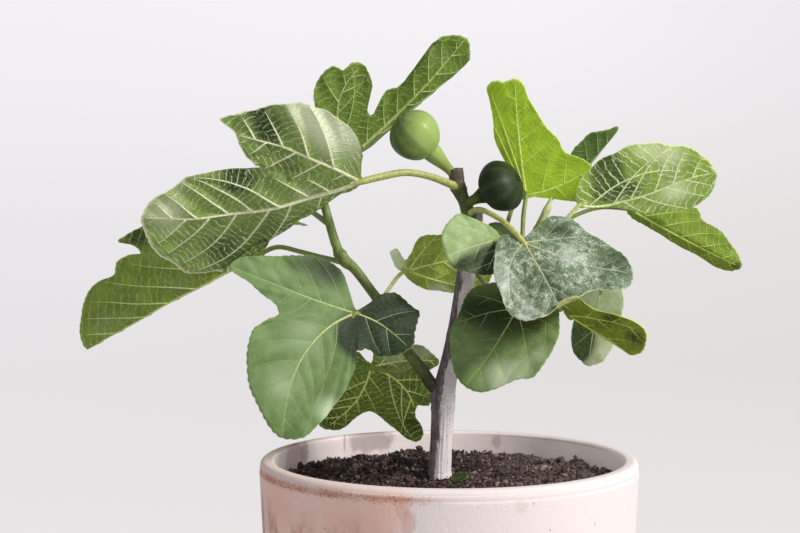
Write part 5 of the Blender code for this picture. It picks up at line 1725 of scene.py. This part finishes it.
# The studio is one pale sheet that runs from the floor up into a wall all round, under a wide soft sky and
# one lamp to the front right, fairly high up.
STUDIO_FLOOR_RADIUS = 2.6
STUDIO_WALL_RADIUS = 4.2
STUDIO_HEIGHT = 3.4
STUDIO_SIDES = 128
LAMP_AIM = np.array([0, 0, 0.33])
LAMP_TURN = -28
LAMP_RISE = 35
LAMP_DISTANCE = 3.5
LAMP_SIZE = 0.70
LAMP_POWER = 107
SKY_STRENGTH = 0.43
PAPER_LOW_LEFT = (0.665, 0.645, 0.66, 1)
PAPER_LOW_RIGHT = (0.62, 0.59, 0.575, 1)
PAPER_HIGH = (0.79, 0.765, 0.80, 1)
PAPER_HIGH_RIGHT = (0.715, 0.69, 0.725, 1)
PAPER_HIGH_LEFT = (0.765, 0.75, 0.775, 1)
PAPER_GLOW = (0.36, 0.36, 0.365, 1)


def studio_rings():
    """A flat floor that curves up by a quarter of an ellipse into the wall."""
    flat = np.linspace(0.05, STUDIO_FLOOR_RADIUS, 30)
    bend = np.linspace(0, np.pi / 2, 25)[1:]
    rise = STUDIO_WALL_RADIUS - STUDIO_FLOOR_RADIUS
    radii = np.concatenate([flat, STUDIO_FLOOR_RADIUS + rise * np.sin(bend), [STUDIO_WALL_RADIUS]])
    heights = np.concatenate([np.zeros(30), rise * (1 - np.cos(bend)), [STUDIO_HEIGHT]])
    turn = full_turn(STUDIO_SIDES)
    return np.stack([radii[:, None] * np.cos(turn), radii[:, None] * np.sin(turn),
                     np.broadcast_to(heights[:, None], (len(radii), STUDIO_SIDES))], -1)


def studio_material():
    """Matt white paper with a glow of its own, which the camera sees brighter than the plant does. It is
    brightest high up in the middle and a little darker and warmer low down on the right."""
    material, tree, shader = new_material("white_paper", 0.95, Emission_Strength=1.0)
    shader.inputs["Base Color"].default_value = (0.20, 0.20, 0.20, 1)
    shader.inputs["Specular IOR Level"].default_value = 0.0
    x, y, height = split(tree, object_place(tree))
    low = blend(tree, ramp(tree, x, -1.2, 1.2), PAPER_LOW_LEFT, PAPER_LOW_RIGHT)
    high = blend(tree, ramp(tree, x, 0.2, 1.2), PAPER_HIGH, PAPER_HIGH_RIGHT)
    high = blend(tree, ramp(tree, x, -0.3, -1.2), high, PAPER_HIGH_LEFT)
    seen = blend(tree, ramp(tree, height, -0.1, 1.0), low, high)
    ray = tree.nodes.new("ShaderNodeLightPath").outputs["Is Camera Ray"]
    connect(tree, shader.inputs["Emission Color"], blend(tree, ray, PAPER_GLOW, seen))
    return material


rings = studio_rings()
studio_points = np.concatenate([rings.reshape(-1, 3), [(0, 0, 0)]])
studio_faces = [ring_faces(len(rings), STUDIO_SIDES)[:, ::-1],
                fan_faces(len(rings) * STUDIO_SIDES, 0, STUDIO_SIDES, True)]
studio = bpy.data.objects.new("studio", new_mesh("studio", studio_points, studio_faces, [studio_material()]))
bpy.context.scene.collection.objects.link(studio)

lamp = bpy.data.objects.new("lamp", bpy.data.lights.new("lamp", "AREA"))
lamp.data.shape = "DISK"
lamp.data.size = LAMP_SIZE
lamp.data.energy = LAMP_POWER
lamp.data.color = (1.0, 0.985, 0.965)
lamp_turn, lamp_rise = math.radians(LAMP_TURN), math.radians(LAMP_RISE)
lamp_way = Vector((math.cos(lamp_turn) * math.cos(lamp_rise), math.sin(lamp_turn) * math.cos(lamp_rise),
                   math.sin(lamp_rise)))
lamp.location = Vector(LAMP_AIM) + lamp_way * LAMP_DISTANCE
lamp.rotation_euler = lamp_way.to_track_quat("Z", "Y").to_euler()
lamp.visible_camera = False
bpy.context.scene.collection.objects.link(lamp)

world = bpy.data.worlds.new("sky")
world.use_nodes = True
world.node_tree.nodes["Background"].inputs["Color"].default_value = (0.97, 0.98, 1.0, 1)
world.node_tree.nodes["Background"].inputs["Strength"].default_value = SKY_STRENGTH
bpy.context.scene.world = world
bpy.context.scene.view_settings.view_transform = "Standard"
